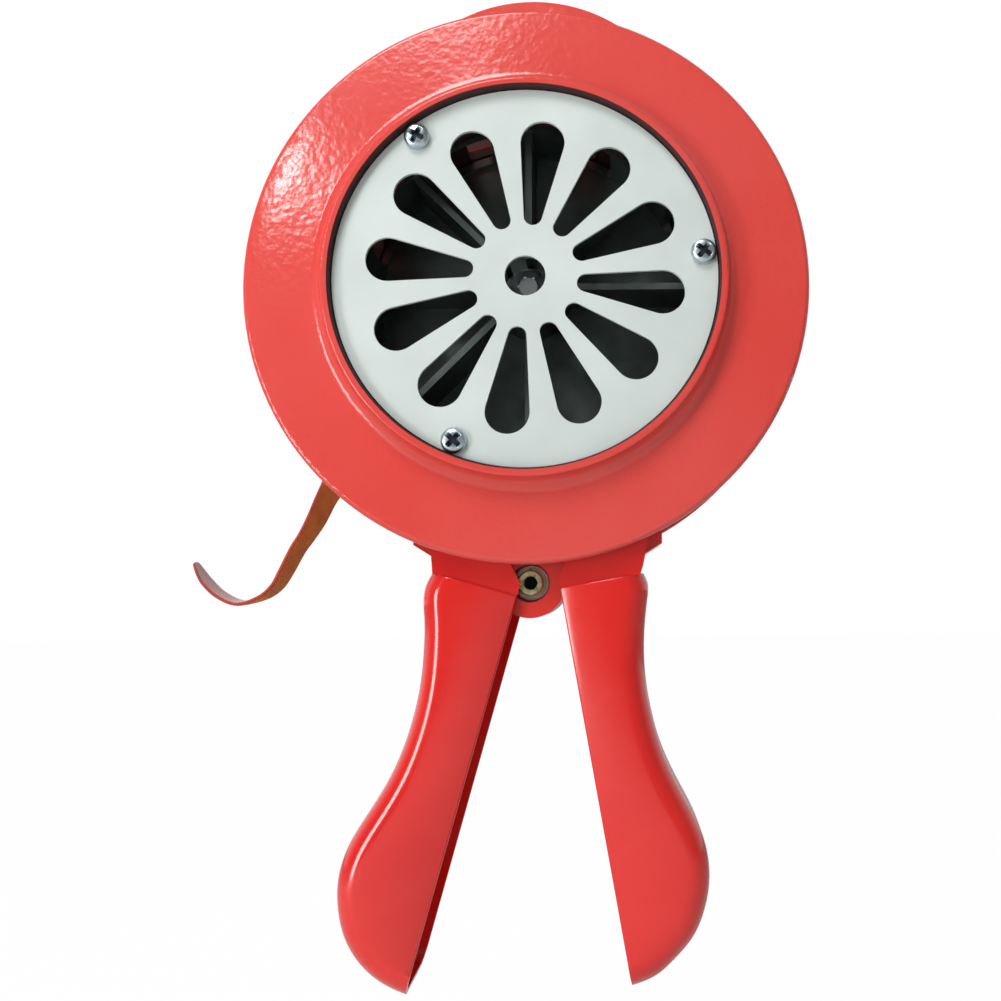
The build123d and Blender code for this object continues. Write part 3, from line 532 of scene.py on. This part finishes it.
def spline_through(rows, count):
    """Points on the natural cubic spline through a table's rows, run by chord length."""
    points = np.array(rows)
    knots = np.concatenate([[0], np.cumsum(np.linalg.norm(np.diff(points, axis=0), axis=1))])
    wide = np.diff(knots)
    system = np.eye(len(knots))
    inner = np.arange(1, len(knots) - 1)
    system[inner, inner - 1] = wide[:-1]
    system[inner, inner] = 2 * (wide[:-1] + wide[1:])
    system[inner, inner + 1] = wide[1:]
    slope = np.diff(points, axis=0) / wide[:, None]
    load = np.zeros_like(points)
    load[1:-1] = 6 * np.diff(slope, axis=0)
    bend = np.linalg.solve(system, load)
    at = np.linspace(0, knots[-1], count)
    i = np.clip(np.searchsorted(knots, at, side="right") - 1, 0, len(wide) - 1)
    before, after, gap = (at - knots[i])[:, None], (knots[i + 1] - at)[:, None], wide[i][:, None]
    cubic = (bend[i] * after**3 + bend[i + 1] * before**3) / (6 * gap)
    left = (points[i] / gap - bend[i] * gap / 6) * after
    return cubic + left + (points[i + 1] / gap - bend[i + 1] * gap / 6) * before


def grip_shell(edge, size):
    """The hollow half in its own frame, in mm: out from the inner edge, down, and depth.
    Along the outer edge E with inward normal N, the section that lies an inset i inside the
    outside is E + (R - (R - i) sin a) N at depth -+(H - R + (R - i) cos a), a quarter turn of
    radius R - i at front and back, and straight from there to the inner edge. The outside has
    i = 0 but for a rounded top, and the inside has i = the wall."""
    dense = spline_through(edge, 3000)
    first = np.argmax(dense[:, 1] >= 0)
    last = len(dense) - np.argmax(dense[::-1, 0] >= 0) - 1
    run = np.gradient(dense, axis=0)
    run /= np.linalg.norm(run, axis=1)[:, None]
    ease = np.clip(dense[:, 1] / SQUARE_BY, 0, 1)[:, None]
    normal = np.stack([-run[:, 1], run[:, 0]], -1) * ease + np.array([-1.0, 0]) * (1 - ease)
    normal /= np.linalg.norm(normal, axis=1)[:, None]
    near = np.searchsorted(dense[first:last, 1], np.linspace(0.02, 1, 10) ** 2 * 2) + first
    rows = np.concatenate([[first], near, np.linspace(near[-1], last, 240).astype(int)[1:]])
    rows = np.unique(rows)
    turn = np.linspace(0, np.pi / 2, 13)
    half, soft = size.depth / MM / 2, size.rounding / MM
    start = dense[rows, 1] - dense[first, 1]
    worn = TOP_ROUND - np.sqrt(TOP_ROUND**2 - np.clip(TOP_ROUND - start, 0, None) ** 2)
    sides = []
    for inset in (worn, np.full(len(rows), size.wall / MM)):
        reach = soft - (soft - inset)[:, None] * np.sin(turn)
        place = dense[rows][:, None] + reach[..., None] * normal[rows][:, None]
        place[..., 0] = np.maximum(place[..., 0], 0)
        deep = half - soft + (soft - inset)[:, None] * np.cos(turn)
        inner = np.stack([np.zeros(len(rows)), place[:, 0, 1]], -1)[:, None]
        hem = inner + np.array([HEM, 0])
        lip = HEM if inset is worn else 0.0
        path = np.concatenate([inner, hem, place], 1)
        depth = np.concatenate([deep[:, :1] - lip, deep[:, :1], deep], 1)
        path = np.concatenate([path, path[:, ::-1]], 1)
        depth = np.concatenate([-depth, depth[:, ::-1]], 1)
        sides.append(np.concatenate([path, depth[..., None]], -1))
    ring = np.concatenate([sides[0], sides[1][:, ::-1]], 1)
    return ring.reshape(-1, 3), ring_faces(*ring.shape[:2])


def grip_ear(corner, depth):
    """An ear plate in the same frame: the hull of a ring round the pin and a bar at the top edge.
    The hull's reach at angle p is the least of h(q) / cos(q - p), where h(q) is its support."""
    count = 160
    angle = np.linspace(0, 2 * np.pi, count, endpoint=False)
    low, high = -PIN_RISE - EAR_LAP, EAR_RISE - PIN_RISE
    bar = np.array([(-PIN_OUT, high), (-PIN_OUT, low), (corner, low), (corner, high)])
    way = np.stack([np.cos(angle), np.sin(angle)], -1)
    support = np.maximum(EAR_RADIUS, (bar @ way.T).max(0))
    lean = np.cos(angle[:, None] - angle)
    reach = np.where(lean > 0.02, support[:, None] / np.maximum(lean, 0.02), 1e3).min(0)
    bore = np.full(count, EAR_BORE)
    loop = np.stack([bore, reach, reach, bore])
    deep = depth + EAR_HALF_WALL * np.array([-1, -1, 1, 1])[:, None] + 0 * loop
    flat = loop[..., None] * way
    points = np.stack([PIN_OUT + flat[..., 0], -PIN_RISE - flat[..., 1], deep], -1)
    r, n = np.meshgrid(np.arange(4), np.arange(count), indexing="ij")
    m, q = (n + 1) % count, (r + 1) % 4
    faces = np.stack([r * count + n, r * count + m, q * count + m, q * count + n], -1)
    return points.reshape(-1, 3), faces.reshape(-1, 4)


class SIREN_OT_grips(bpy.types.Operator):
    """Press and enamel the two grip halves"""

    bl_idname = "siren.grips"
    bl_label = "Grip halves"

    def execute(self, context):
        size = context.scene.siren_grip
        gloss = gloss_enamel(context.scene.siren_colours)
        # piece, side, tilt of the inner edge, outer edge, and where the ears' bar ends, in mm
        for name, side, tilt, edge, corner in (
            ("left_grip", -1, np.radians(15.75), LEFT_EDGE, -1.6),
            ("right_grip", 1, np.radians(10.06), RIGHT_EDGE, -3.2),
        ):
            low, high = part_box(name.replace("grip", "hinge_pin"))
            pin = np.array([(low.x + high.x) / 2, 0, (low.z + high.z) / 2])
            out = np.array([side * np.cos(tilt), 0, np.sin(tilt)])
            down = np.array([side * np.sin(tilt), 0, -np.cos(tilt)])
            shells = []
            for points, faces in (
                grip_shell(edge, size), grip_ear(corner, -EAR_DEPTH), grip_ear(corner, EAR_DEPTH)
            ):
                placed = (
                    pin
                    + (points[:, :1] - PIN_OUT) * MM * out
                    + (points[:, 1:2] + PIN_RISE) * MM * down
                    + points[:, 2:] * MM * np.array([0, 1.0, 0])
                )
                shells.append((placed, outward(placed, faces)))
            put(f"{name}_pressing", shells, gloss, name, name, 50)
        return {"FINISHED"}


class SIREN_OT_grille(bpy.types.Operator):
    """Paint the slotted grille"""

    bl_idname = "siren.grille"
    bl_label = "Grille"

    def execute(self, context):
        dress(pale_paint(context.scene.siren_colours), "grille")
        return {"FINISHED"}


class SIREN_OT_rotor(bpy.types.Operator):
    """Finish the cast rotor, its shaft, the idler's pin and the crank's shaft"""

    bl_idname = "siren.rotor"
    bl_label = "Rotor"

    def execute(self, context):
        colours = context.scene.siren_colours
        # the rotor's aluminium is darkened, partly as painted shade inside the drum
        cast = metal(
            "sand cast aluminium", colours.casting, "#525A57", 0.42, 0.02, 0.8 * MM, 0.05 * MM
        )
        dress(cast, "rotor")
        bright = turned_metal("bright turned steel", "#B9BBBC", 0.24)
        dress(bright, "rotor_shaft", "idler_pin", "crank_shaft")
        return {"FINISHED"}


class SIREN_OT_gears(bpy.types.Operator):
    """Finish the gears, bearings, bush and gasket"""

    bl_idname = "siren.gears"
    bl_label = "Gear train"

    def execute(self, context):
        steel = metal("oiled machined steel", "#8D8D8B", "#6F6E6A", 0.3, 0.008)
        dress(steel, "rotor_pinion", "idler_gear", "crank_gear")
        dress(turned_metal("ground bearing steel", "#A9ABAD", 0.2), "front_bearing", "rear_bearing")
        bronze = metal("sintered bronze", "#B98B55", "#9A7040", 0.4, 0.004, 0.3 * MM, 0.02 * MM)
        dress(bronze, "crank_bush")
        fibre, tree, shader, place = new_material("oiled gasket fibre", "#3A3F3C", 0.8)
        relief(tree, shader, place, 0.5 * MM, 0.03 * MM, 6.0)
        dress(fibre, "gearbox_gasket")
        return {"FINISHED"}


class SIREN_OT_crank(bpy.types.Operator):
    """Finish the crank arm, its washers and nut, and the turning knob"""

    bl_idname = "siren.crank"
    bl_label = "Crank"

    def execute(self, context):
        black, tree, shader, place = new_material("black stoved enamel", "#171717", 0.35)
        mottle(tree, shader, place, ("#141414", "#1E1D1C"), 0.012, (0.3, 0.42))
        relief(tree, shader, place, 1.2 * MM, 0.015 * MM)
        dress(black, "crank_arm")
        knob, tree, shader, place = new_material("moulded phenolic", "#120F0E", 0.18)
        mottle(tree, shader, place, ("#0F0D0C", "#1C1614"), 0.009, (0.14, 0.26))
        relief(tree, shader, place, 2.5 * MM, 0.01 * MM)
        dress(knob, "knob")
        zinc = bpy.data.materials["clear zinc plate"]
        dress(zinc, "crank_washer", "crank_lock_washer", "crank_nut", "knob_pin", "knob_washer")
        return {"FINISHED"}


class SIREN_OT_small_metal(bpy.types.Operator):
    """Finish the plated nuts, washers and pins, and the lug screw with its washers"""

    bl_idname = "siren.small_metal"
    bl_label = "Small metal"

    def execute(self, context):
        colours = context.scene.siren_colours
        zinc = metal(
            "clear zinc plate", colours.zinc, "#AFBABD", 0.3, 0.0025, 0.15 * MM, 0.006 * MM
        )
        # painted shade darkens the cross recess, by the mesh's own value for how deep a point lies in
        # it
        tree = zinc.node_tree
        shader = tree.nodes["Principled BSDF"]
        deep = add(tree, "ShaderNodeAttribute", attribute_name="recess")
        plate = shader.inputs["Base Color"].links[0].from_socket
        shaded_recess = add(
            tree, "ShaderNodeMix", [(0, deep.outputs["Fac"]), (6, plate)], data_type="RGBA"
        )
        shaded_recess.inputs[7].default_value = linear("#1F2B33")
        tree.links.new(shaded_recess.outputs[2], shader.inputs["Base Color"])
        dress(zinc, "left_hinge_pin", "right_hinge_pin", "strap_washer")
        oiled = metal("oily zinc plate", "#6C7272", "#50585A", 0.3, 0.004, 0.3 * MM, 0.006 * MM)
        dress(oiled, "rotor_washer", "rotor_nut")
        yellow = metal(
            "yellow zinc plate", colours.yellow_zinc, "#A39A78", 0.26, 0.006, 0.3 * MM, 0.004 * MM
        )
        dress(yellow, "lug_spring_washer")
        # the faint pink paints the red enamel's reflection in the washer, and its near white, lighter
        # than the other zinc, paints its highlight
        bright = metal("zinc plated washer", "#F2ECEC", "#DDD6D6", 0.48, 0.003)
        dress(bright, "lug_washer")
        screw = metal("yellow zinc socket screw", "#DDD2AE", "#B4A877", 0.3, 0.0015)
        tree = screw.node_tree
        shader = tree.nodes["Principled BSDF"]
        place = tree.nodes["Texture Coordinate"].outputs["Object"]
        low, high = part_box("lug_screw")
        reach = axis_reach(tree, place, (low.x + high.x) / 2, (low.z + high.z) / 2)
        # painted shade fills the socket, whose flats lie within 1.9 mm of the axis
        socket_unshaded = add(
            tree, "ShaderNodeMapRange", [("Value", reach)], From_Min=1.7 * MM, From_Max=2.0 * MM
        )
        coat = shader.inputs["Base Color"].links[0].from_socket
        mixed = add(
            tree, "ShaderNodeMix", [(0, socket_unshaded.outputs[0]), (7, coat)], data_type="RGBA"
        )
        # near black painted shade inside the socket
        mixed.inputs[6].default_value = linear("#14160F")
        tree.links.new(mixed.outputs[2], shader.inputs["Base Color"])
        dress(screw, "lug_screw")
        return {"FINISHED"}


def cross_screw(size, place, out, turn, shank, length, scale=1.0):
    """One cross recessed pan head screw: its points, with the two poles last, how many rings
    they form, how many points a ring has, and how much painted shade each point of the recess gets.
    The head's height at radius r is rise * (0.25 + 0.75 * (1 - (r / head)^4)^0.5), less the
    recess, whose depth falls off towards the ends of two crossed bars. The shank's radius is a
    triangle wave of the distance along it less the turn round it, which draws the thread."""
    sides = size.sides
    head, rise = size.head * scale, size.rise * scale
    angle = np.linspace(0, 2 * np.pi, sides, endpoint=False)
    outer = 1 - 0.3 * (1 - np.linspace(0.1, 1, 9)) ** 1.6
    reach = head * np.concatenate([np.linspace(0.04, 0.7, 22), outer])
    r, a = np.meshgrid(reach, angle, indexing="ij")
    u, v = r * np.cos(a + turn), r * np.sin(a + turn)
    dome = rise * np.sqrt(np.clip(1 - (r / head) ** 4, 0, 1)) * 0.75 + rise * 0.25

    wall, ramp = 0.1 * MM * scale, 1.1 * MM * scale  # of a wing: side wall and sloping end
    middle, middle_wall = 0.85 * MM * scale, 0.25 * MM * scale  # of the round middle

    def bar(across, along):
        wide = np.clip((size.slot * scale - np.abs(across)) / wall + 0.5, 0, 1)
        run = np.clip((size.wing * scale - np.abs(along)) / ramp, 0, 1)
        return wide * run

    cut = np.maximum(bar(u, v), bar(v, u))
    cut = np.maximum(cut, np.clip((middle - r) / middle_wall + 0.5, 0, 1))
    top = dome - size.depth * scale * cut
    along = np.arange(0.4 * MM, length - 0.3 * MM, size.pitch / 4)
    steps, b = np.meshgrid(along, angle, indexing="ij")
    ridge = np.abs((steps / size.pitch - b / (2 * np.pi)) % 1 - 0.5) * 2
    fade = np.clip((length - 0.6 * MM - steps) / (0.5 * MM), 0, 1)
    fade *= np.clip(steps / (1.5 * MM), 0, 1)
    thread = shank - 0.32 * MM * ridge * fade * min(1, shank / (2 * MM))
    ring = np.ones((1, sides))
    radii = np.concatenate([r, head * ring, shank * ring, thread, (shank - 0.4 * MM) * ring])
    heights = np.concatenate([top, 0 * ring, 0 * ring, -steps, -length * ring])
    turns = np.broadcast_to(angle, radii.shape)
    ring_points = np.stack([radii * np.cos(turns), out * heights, radii * np.sin(turns)], -1)
    poles = np.array([[0, out * (rise - size.depth * scale), 0], [0, -out * length, 0]])
    points = np.concatenate([ring_points.reshape(-1, 3), poles]) + np.array(place)
    # painted shade in the cross recess, darker where the cut goes deeper
    recess_shade = np.zeros(len(points))
    recess_shade[:cut.size] = np.clip(cut.ravel() * 1.4 - 0.2, 0, 1) * 0.9
    return points, radii.shape[0], sides, recess_shade


def screws(name, node, size, places, out, shank, length, scale=1.0):
    """A group of like screws in one mesh, in place of their CAD node."""
    points, quads, fans, recess_shades, count = [], [], [], [], 0
    for number, place in enumerate(places):
        turn = 0.5 + 1.7 * number  # in radians: each head stops at a turn of its own
        more, rings, sides, recess_shade = cross_screw(size, place, out, turn, shank, length, scale)
        four, three = tube_faces(rings, sides)
        if out > 0:
            four, three = four[:, ::-1], three[:, ::-1]
        points.append(more)
        recess_shades.append(recess_shade)
        quads.append(four + count)
        fans.append(three + count)
        count += len(more)
    faces = [*np.concatenate(quads).tolist(), *np.concatenate(fans).tolist()]
    mesh = bpy.data.meshes.new(name)
    mesh.from_pydata(np.concatenate(points).tolist(), [], faces)
    mesh.polygons.foreach_set("use_smooth", np.full(len(mesh.polygons), True))
    mesh.set_sharp_from_angle(angle=np.radians(38))
    # the painted shade of the cross recesses, kept as a value per point
    recess = mesh.attributes.new("recess", "FLOAT", "POINT")
    recess.data.foreach_set("value", np.concatenate(recess_shades))
    made = bpy.data.objects.new(name, mesh)
    bpy.context.scene.collection.objects.link(made)
    mesh.materials.append(bpy.data.materials["clear zinc plate"])
    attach(made, "casing")
    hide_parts(node)


def seats(count, turn, radius):
    """Places on a circle round the siren's axis, the first at a turn clockwise from the top."""
    turns = [turn + 2 * np.pi * n / count for n in range(count)]
    return [(radius * np.sin(one), radius * np.cos(one)) for one in turns]


GRILLE_CIRCLE = 47.6 * MM  # how far the grille's screws stand from the axis
CASING_CIRCLE = 53.6 * MM  # and the casing's


class SIREN_OT_screws(bpy.types.Operator):
    """Turn the screws' threads and press their cross recesses"""

    bl_idname = "siren.screws"
    bl_label = "Cross recessed screws"

    def execute(self, context):
        size = context.scene.siren_screws
        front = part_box("grille")[0].y
        spots = [(x, front, z + AXIS) for x, z in seats(3, np.radians(-37.2), GRILLE_CIRCLE)]
        screws(
            "pan_heads_grille", "grille_screws", size, spots, -1, shank=1.9 * MM, length=6.8 * MM
        )
        spots = [(x, REAR_FACE, z + AXIS) for x, z in seats(3, np.radians(60), CASING_CIRCLE)]
        screws(
            "pan_heads_casing", "casing_screws", size, spots, 1, shank=2.0 * MM, length=36.5 * MM,
            scale=1.1,
        )
        # the cover's screws stand at 45 degrees round the rotor's shaft and round the idler's pin
        reach = 29.82 * MM * np.sqrt(0.5)
        idler = 30.8 * MM
        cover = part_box("cover_screws")[1].y - 1.9 * MM
        spots = [
            (side * reach, cover, AXIS + z) for side in (-1, 1) for z in (-reach, idler + reach)
        ]
        screws(
            "pan_heads_cover", "cover_screws", size, spots, 1, shank=1.5 * MM, length=10 * MM,
            scale=0.82,
        )
        low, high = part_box("strap_screw")
        spots = [((low.x + high.x) / 2, high.y - 2.0 * MM, (low.z + high.z) / 2)]
        screws(
            "pan_head_strap", "strap_screw", size, spots, 1, shank=1.5 * MM, length=5.0 * MM,
            scale=0.95,
        )
        return {"FINISHED"}


# right of the strap screw, above it, behind the rear flange, all in mm, and twist in degrees
STRAP_COURSE = np.array([
    (1.9, 4.7, 0.0, 0),
    (0.0, 0.0, 0.0, 0),
    (-1.5, -3.5, 0.0, 0),
    (-2.9, -7.0, 2.2, 26),
    (-4.6, -11.2, 3.4, 46),
    (-7.1, -15.9, 4.0, 57),
    (-9.9, -21.9, 4.3, 63),
    (-12.8, -26.9, 4.5, 71),
    (-15.4, -30.8, 4.6, 74),
    (-18.8, -37.4, 4.7, 77),
    (-21.5, -41.9, 4.7, 82),
    (-25.7, -45.1, 4.7, 88),
    (-32.3, -46.7, 4.7, 95),
    (-38.3, -44.3, 4.7, 96),
    (-43.0, -39.9, 4.7, 95),
    (-46.4, -34.4, 4.7, 94),
])


def strap_course(steps):
    """Centre line and twist of the strap: a cubic through the course's points."""
    at = np.linspace(0, len(STRAP_COURSE) - 1, steps)
    index = np.minimum(at.astype(int), len(STRAP_COURSE) - 2)
    p = (at - index)[:, None]
    rows = [STRAP_COURSE[np.clip(index + n, 0, len(STRAP_COURSE) - 1)] for n in (-1, 0, 1, 2)]
    weights = (
        (-p + 2 * p**2 - p**3) / 2,
        (2 - 5 * p**2 + 3 * p**3) / 2,
        (p + 4 * p**2 - 3 * p**3) / 2,
        (-(p**2) + p**3) / 2,
    )
    found = sum(w * row for w, row in zip(weights, rows))
    found[:, 2:] = np.maximum(found[:, 2:], 0)
    return found


class SIREN_OT_strap(bpy.types.Operator):
    """Cut, coat and twist the leather strap"""

    bl_idname = "siren.strap"
    bl_label = "Leather strap"

    def execute(self, context):
        """The strap is a rounded rectangle carried along the course: across it runs
        (width / 2 * c, thickness / 2 * s), where c is a circle's cosine to the power 0.35 and s
        its sine to the power 0.5, turned by the twist. It widens over the first 3.5 mm, curls
        from 12 mm on, is pared down to three quarters of its thickness over the last 30 mm, and
        narrows to a fifth of its width over the last 7 mm."""
        size = context.scene.siren_strap
        colours = context.scene.siren_colours
        course = strap_course(181)
        low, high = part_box("strap_screw")
        face = REAR_FACE + size.thickness / 2
        middle = ((low.x + high.x) / 2, face, (low.z + high.z) / 2)
        centre = course[:, [0, 2, 1]] * MM + np.array(middle)
        run = np.gradient(centre[:, [0, 2]], axis=0)
        run /= np.linalg.norm(run, axis=1)[:, None]
        twist = np.radians(course[:, 3])
        zero = np.zeros(len(run))
        convex = np.stack([-run[:, 1], zero, run[:, 0]], -1)
        back = np.array([0, 1.0, 0])
        across = convex * np.cos(twist)[:, None] + back * np.sin(twist)[:, None]
        flesh = convex * np.sin(twist)[:, None] - back * np.cos(twist)[:, None]
        step = np.linalg.norm(np.diff(centre, axis=0), axis=1)
        travel = np.concatenate([[0], np.cumsum(step)])
        tip = np.clip((travel[-1] - travel) / (7 * MM), 0, 1)
        root = np.clip(travel / (3.5 * MM), 0, 1)
        half = size.width / 2 * (0.18 + 0.82 * np.sqrt(tip))
        half *= 0.3 + 0.7 * np.sqrt(1 - (1 - root) ** 2)
        turn = np.linspace(0, 2 * np.pi, 40, endpoint=False)
        c = np.sign(np.cos(turn)) * np.abs(np.cos(turn)) ** 0.35
        s = np.sign(np.sin(turn)) * np.abs(np.sin(turn)) ** 0.5
        lift = -size.curl * (c**2) * np.clip(travel / (12 * MM) - 1, 0, 1)[:, None]
        skive = 0.75 + 0.25 * np.clip((travel[-1] - travel) / (30 * MM), 0, 1)[:, None]
        points = (
            centre[:, None]
            + across[:, None] * (half[:, None] * c)[..., None]
            + flesh[:, None] * (size.thickness / 2 * 0.97 * s * skive + lift)[..., None]
        )
        rings, sides = points.shape[:2]
        ends = np.stack([points[0].mean(0), points[-1].mean(0)])
        quads, fans = tube_faces(rings, sides)
        coat = leather(
            "coated strap leather", colours.leather_coat, "#7C2019", 0.28, 0.9 * MM, 0.03 * MM, 0.5
        )
        rough = leather(
            "leather flesh side", colours.leather_flesh, "#AD5F22", 0.75, 0.5 * MM, 0.06 * MM
        )
        edge = leather("dyed leather edge", "#B23A20", "#8F2C19", 0.55, 0.6 * MM, 0.04 * MM)
        mesh = bpy.data.meshes.new("carrying_strap")
        mesh.from_pydata(
            np.concatenate([points.reshape(-1, 3), ends]).tolist(), [],
            [*quads.tolist(), *fans.tolist()],
        )
        for one in (coat, rough, edge):
            mesh.materials.append(one)
        # each strip round the outline is the dyed edge, the flesh side or the coated side
        sideways = np.abs((c + np.roll(c, -1)) / 2)
        sign = (s + np.roll(s, -1)) / 2
        kinds = np.where(sideways > 0.93, 2, np.where(sign > 0, 1, 0))
        index = np.concatenate([np.tile(kinds, rings - 1), np.full(2 * sides, 2)])
        mesh.polygons.foreach_set("material_index", index.astype(np.int32))
        mesh.polygons.foreach_set("use_smooth", np.full(len(mesh.polygons), True))
        mesh.update()
        made = bpy.data.objects.new("carrying_strap", mesh)
        context.scene.collection.objects.link(made)
        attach(made, "casing")
        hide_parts("carry_strap")
        return {"FINISHED"}


def stand(holder, right, up, back, place):
    """Puts a lamp or camera at a place, with its own axes along three unit vectors."""
    rows = zip(np.stack([right, up, back], 1), place)
    holder.matrix_world = Matrix([[*row, at] for row, at in rows] + [[0, 0, 0, 1]])


class SIREN_OT_stage(bpy.types.Operator):
    """Set up the floor, the lamps and the camera"""

    bl_idname = "siren.stage"
    bl_label = "Studio"

    def execute(self, context):
        stage = context.scene.siren_stage
        floor_white, tree, shader, place = new_material("white studio floor", "#F4F4F2", 0.8)
        relief(tree, shader, place, 3 * MM, 0.01 * MM)
        glow = add(tree, "ShaderNodeEmission", Color=linear("#FFFFFF"), Strength=1.0)
        rays = add(tree, "ShaderNodeLightPath")
        share = add(
            tree, "ShaderNodeMath", [(0, rays.outputs["Is Camera Ray"])], operation="MULTIPLY"
        )
        # the camera sees the floor as white by this share, and as lit paint by the rest
        share.inputs[1].default_value = 0.985
        mixed = add(
            tree, "ShaderNodeMixShader",
            [(0, share.outputs[0]), (1, shader.outputs[0]), (2, glow.outputs[0])],
        )
        tree.links.new(mixed.outputs[0], tree.nodes["Material Output"].inputs["Surface"])
        level = CAD_BOX[0].z - 90 * MM  # the siren is held in the hand, above the floor
        mesh = bpy.data.meshes.new("floor")
        mesh.from_pydata(
            [(-4, -4, level), (4, -4, level), (4, 4, level), (-4, 4, level)], [], [(0, 1, 2, 3)]
        )
        mesh.materials.append(floor_white)
        floor = bpy.data.objects.new("floor", mesh)
        context.scene.collection.objects.link(floor)

        world = context.scene.world or bpy.data.worlds.new("studio")
        context.scene.world = world
        world.use_nodes = True
        tree = world.node_tree
        tree.nodes.clear()
        rays = add(tree, "ShaderNodeLightPath")
        white = add(tree, "ShaderNodeBackground", Color=linear("#FFFFFF"), Strength=1.0)
        room = add(tree, "ShaderNodeBackground", Color=linear("#F6F8FA"), Strength=stage.room)
        bounced = add(
            tree, "ShaderNodeMath",
            [(0, rays.outputs["Is Glossy Ray"]), (1, rays.outputs["Is Transmission Ray"])],
            operation="MAXIMUM",
        )
        # the white backdrop stands behind the siren, and the room's dimmer walls before it
        way = add(
            tree, "ShaderNodeSeparateXYZ",
            [(0, add(tree, "ShaderNodeTexCoord").outputs["Generated"])],
        )
        behind = add(
            tree, "ShaderNodeMapRange", [("Value", way.outputs["Y"])], From_Min=-0.25, From_Max=0.35
        )
        seen = add(
            tree, "ShaderNodeMath", [(0, bounced.outputs[0]), (1, behind.outputs["Result"])],
            operation="MULTIPLY",
        )
        through = add(
            tree, "ShaderNodeMath", [(0, seen.outputs[0]), (1, rays.outputs["Is Camera Ray"])],
            operation="MAXIMUM",
        )
        mixed = add(
            tree, "ShaderNodeMixShader",
            [(0, through.outputs[0]), (1, room.outputs[0]), (2, white.outputs[0])],
        )
        add(tree, "ShaderNodeOutputWorld", [("Surface", mixed.outputs[0])])

        # name, place, point aimed at, width and height, all in metres, and power
        for name, spot, aim, wide, tall, power in (
            ("key lamp", (-0.4, -0.9, 1.25), (0, 0, 0.06), 0.6, 0.6, stage.key),
            ("window lamp", (-0.57, -0.98, 0.64), (-0.06, -0.02, 0.12), 0.08, 0.13, stage.window),
            ("strip lamp", (-0.71, -0.58, -0.16), (-0.03, -0.01, -0.05), 0.2, 0.75, stage.strip),
        ):
            lamp = bpy.data.lights.new(name, "AREA")
            lamp.shape = "RECTANGLE"
            lamp.size, lamp.size_y, lamp.energy = wide, tall, power
            holder = bpy.data.objects.new(name, lamp)
            context.scene.collection.objects.link(holder)
            away = np.array(spot) - np.array(aim)
            away /= np.linalg.norm(away)
            side = np.cross((0, 0, 1.0), away)
            side /= np.linalg.norm(side)
            rise = np.cross(away, side)
            stand(holder, side, rise, away, spot)

        camera = bpy.data.cameras.new("camera")
        camera.sensor_width = 36
        camera.lens = stage.lens
        camera.shift_x = stage.shift
        camera.clip_start = 0.01
        holder = bpy.data.objects.new("camera", camera)
        context.scene.collection.objects.link(holder)
        ahead = np.array(stage.ahead)
        ahead /= np.linalg.norm(ahead)
        right = np.array([1.0, -0.0033, -0.0085])  # the frame leans by half a degree
        right -= ahead * (right @ ahead)
        right /= np.linalg.norm(right)
        up = np.cross(right, ahead)
        stand(holder, right, up, -ahead, stage.eye)
        context.scene.camera = holder
        context.scene.view_settings.view_transform = "Standard"
        return {"FINISHED"}


OPERATORS = (
    SIREN_OT_stage,
    SIREN_OT_castings,
    SIREN_OT_grips,
    SIREN_OT_grille,
    SIREN_OT_small_metal,
    SIREN_OT_rotor,
    SIREN_OT_gears,
    SIREN_OT_crank,
    SIREN_OT_screws,
    SIREN_OT_strap,
)


class SIREN_PT_panel(bpy.types.Panel):
    """Lists the siren's operators in the sidebar of the 3D view."""

    bl_idname = "SIREN_PT_panel"
    bl_label = "Siren"
    bl_space_type = "VIEW_3D"
    bl_region_type = "UI"
    bl_category = "Siren"

    def draw(self, context):
        for operator in OPERATORS:
            self.layout.operator(operator.bl_idname)


GROUPS = (
    ("siren_colours", SirenColours),
    ("siren_screws", SirenScrews),
    ("siren_grip", SirenGrip),
    ("siren_strap", SirenStrap),
    ("siren_stage", SirenStage),
)


def register():
    for name, group in GROUPS:
        bpy.utils.register_class(group)
        setattr(bpy.types.Scene, name, PointerProperty(type=group))
    for operator in OPERATORS:
        bpy.utils.register_class(operator)
    bpy.utils.register_class(SIREN_PT_panel)


def unregister():
    bpy.utils.unregister_class(SIREN_PT_panel)
    for operator in reversed(OPERATORS):
        bpy.utils.unregister_class(operator)
    for name, group in reversed(GROUPS):
        delattr(bpy.types.Scene, name)
        bpy.utils.unregister_class(group)


def main():
    register()
    for operator in OPERATORS:
        group, name = operator.bl_idname.split(".")
        getattr(getattr(bpy.ops, group), name)()


if __name__ == "__main__":
    main()
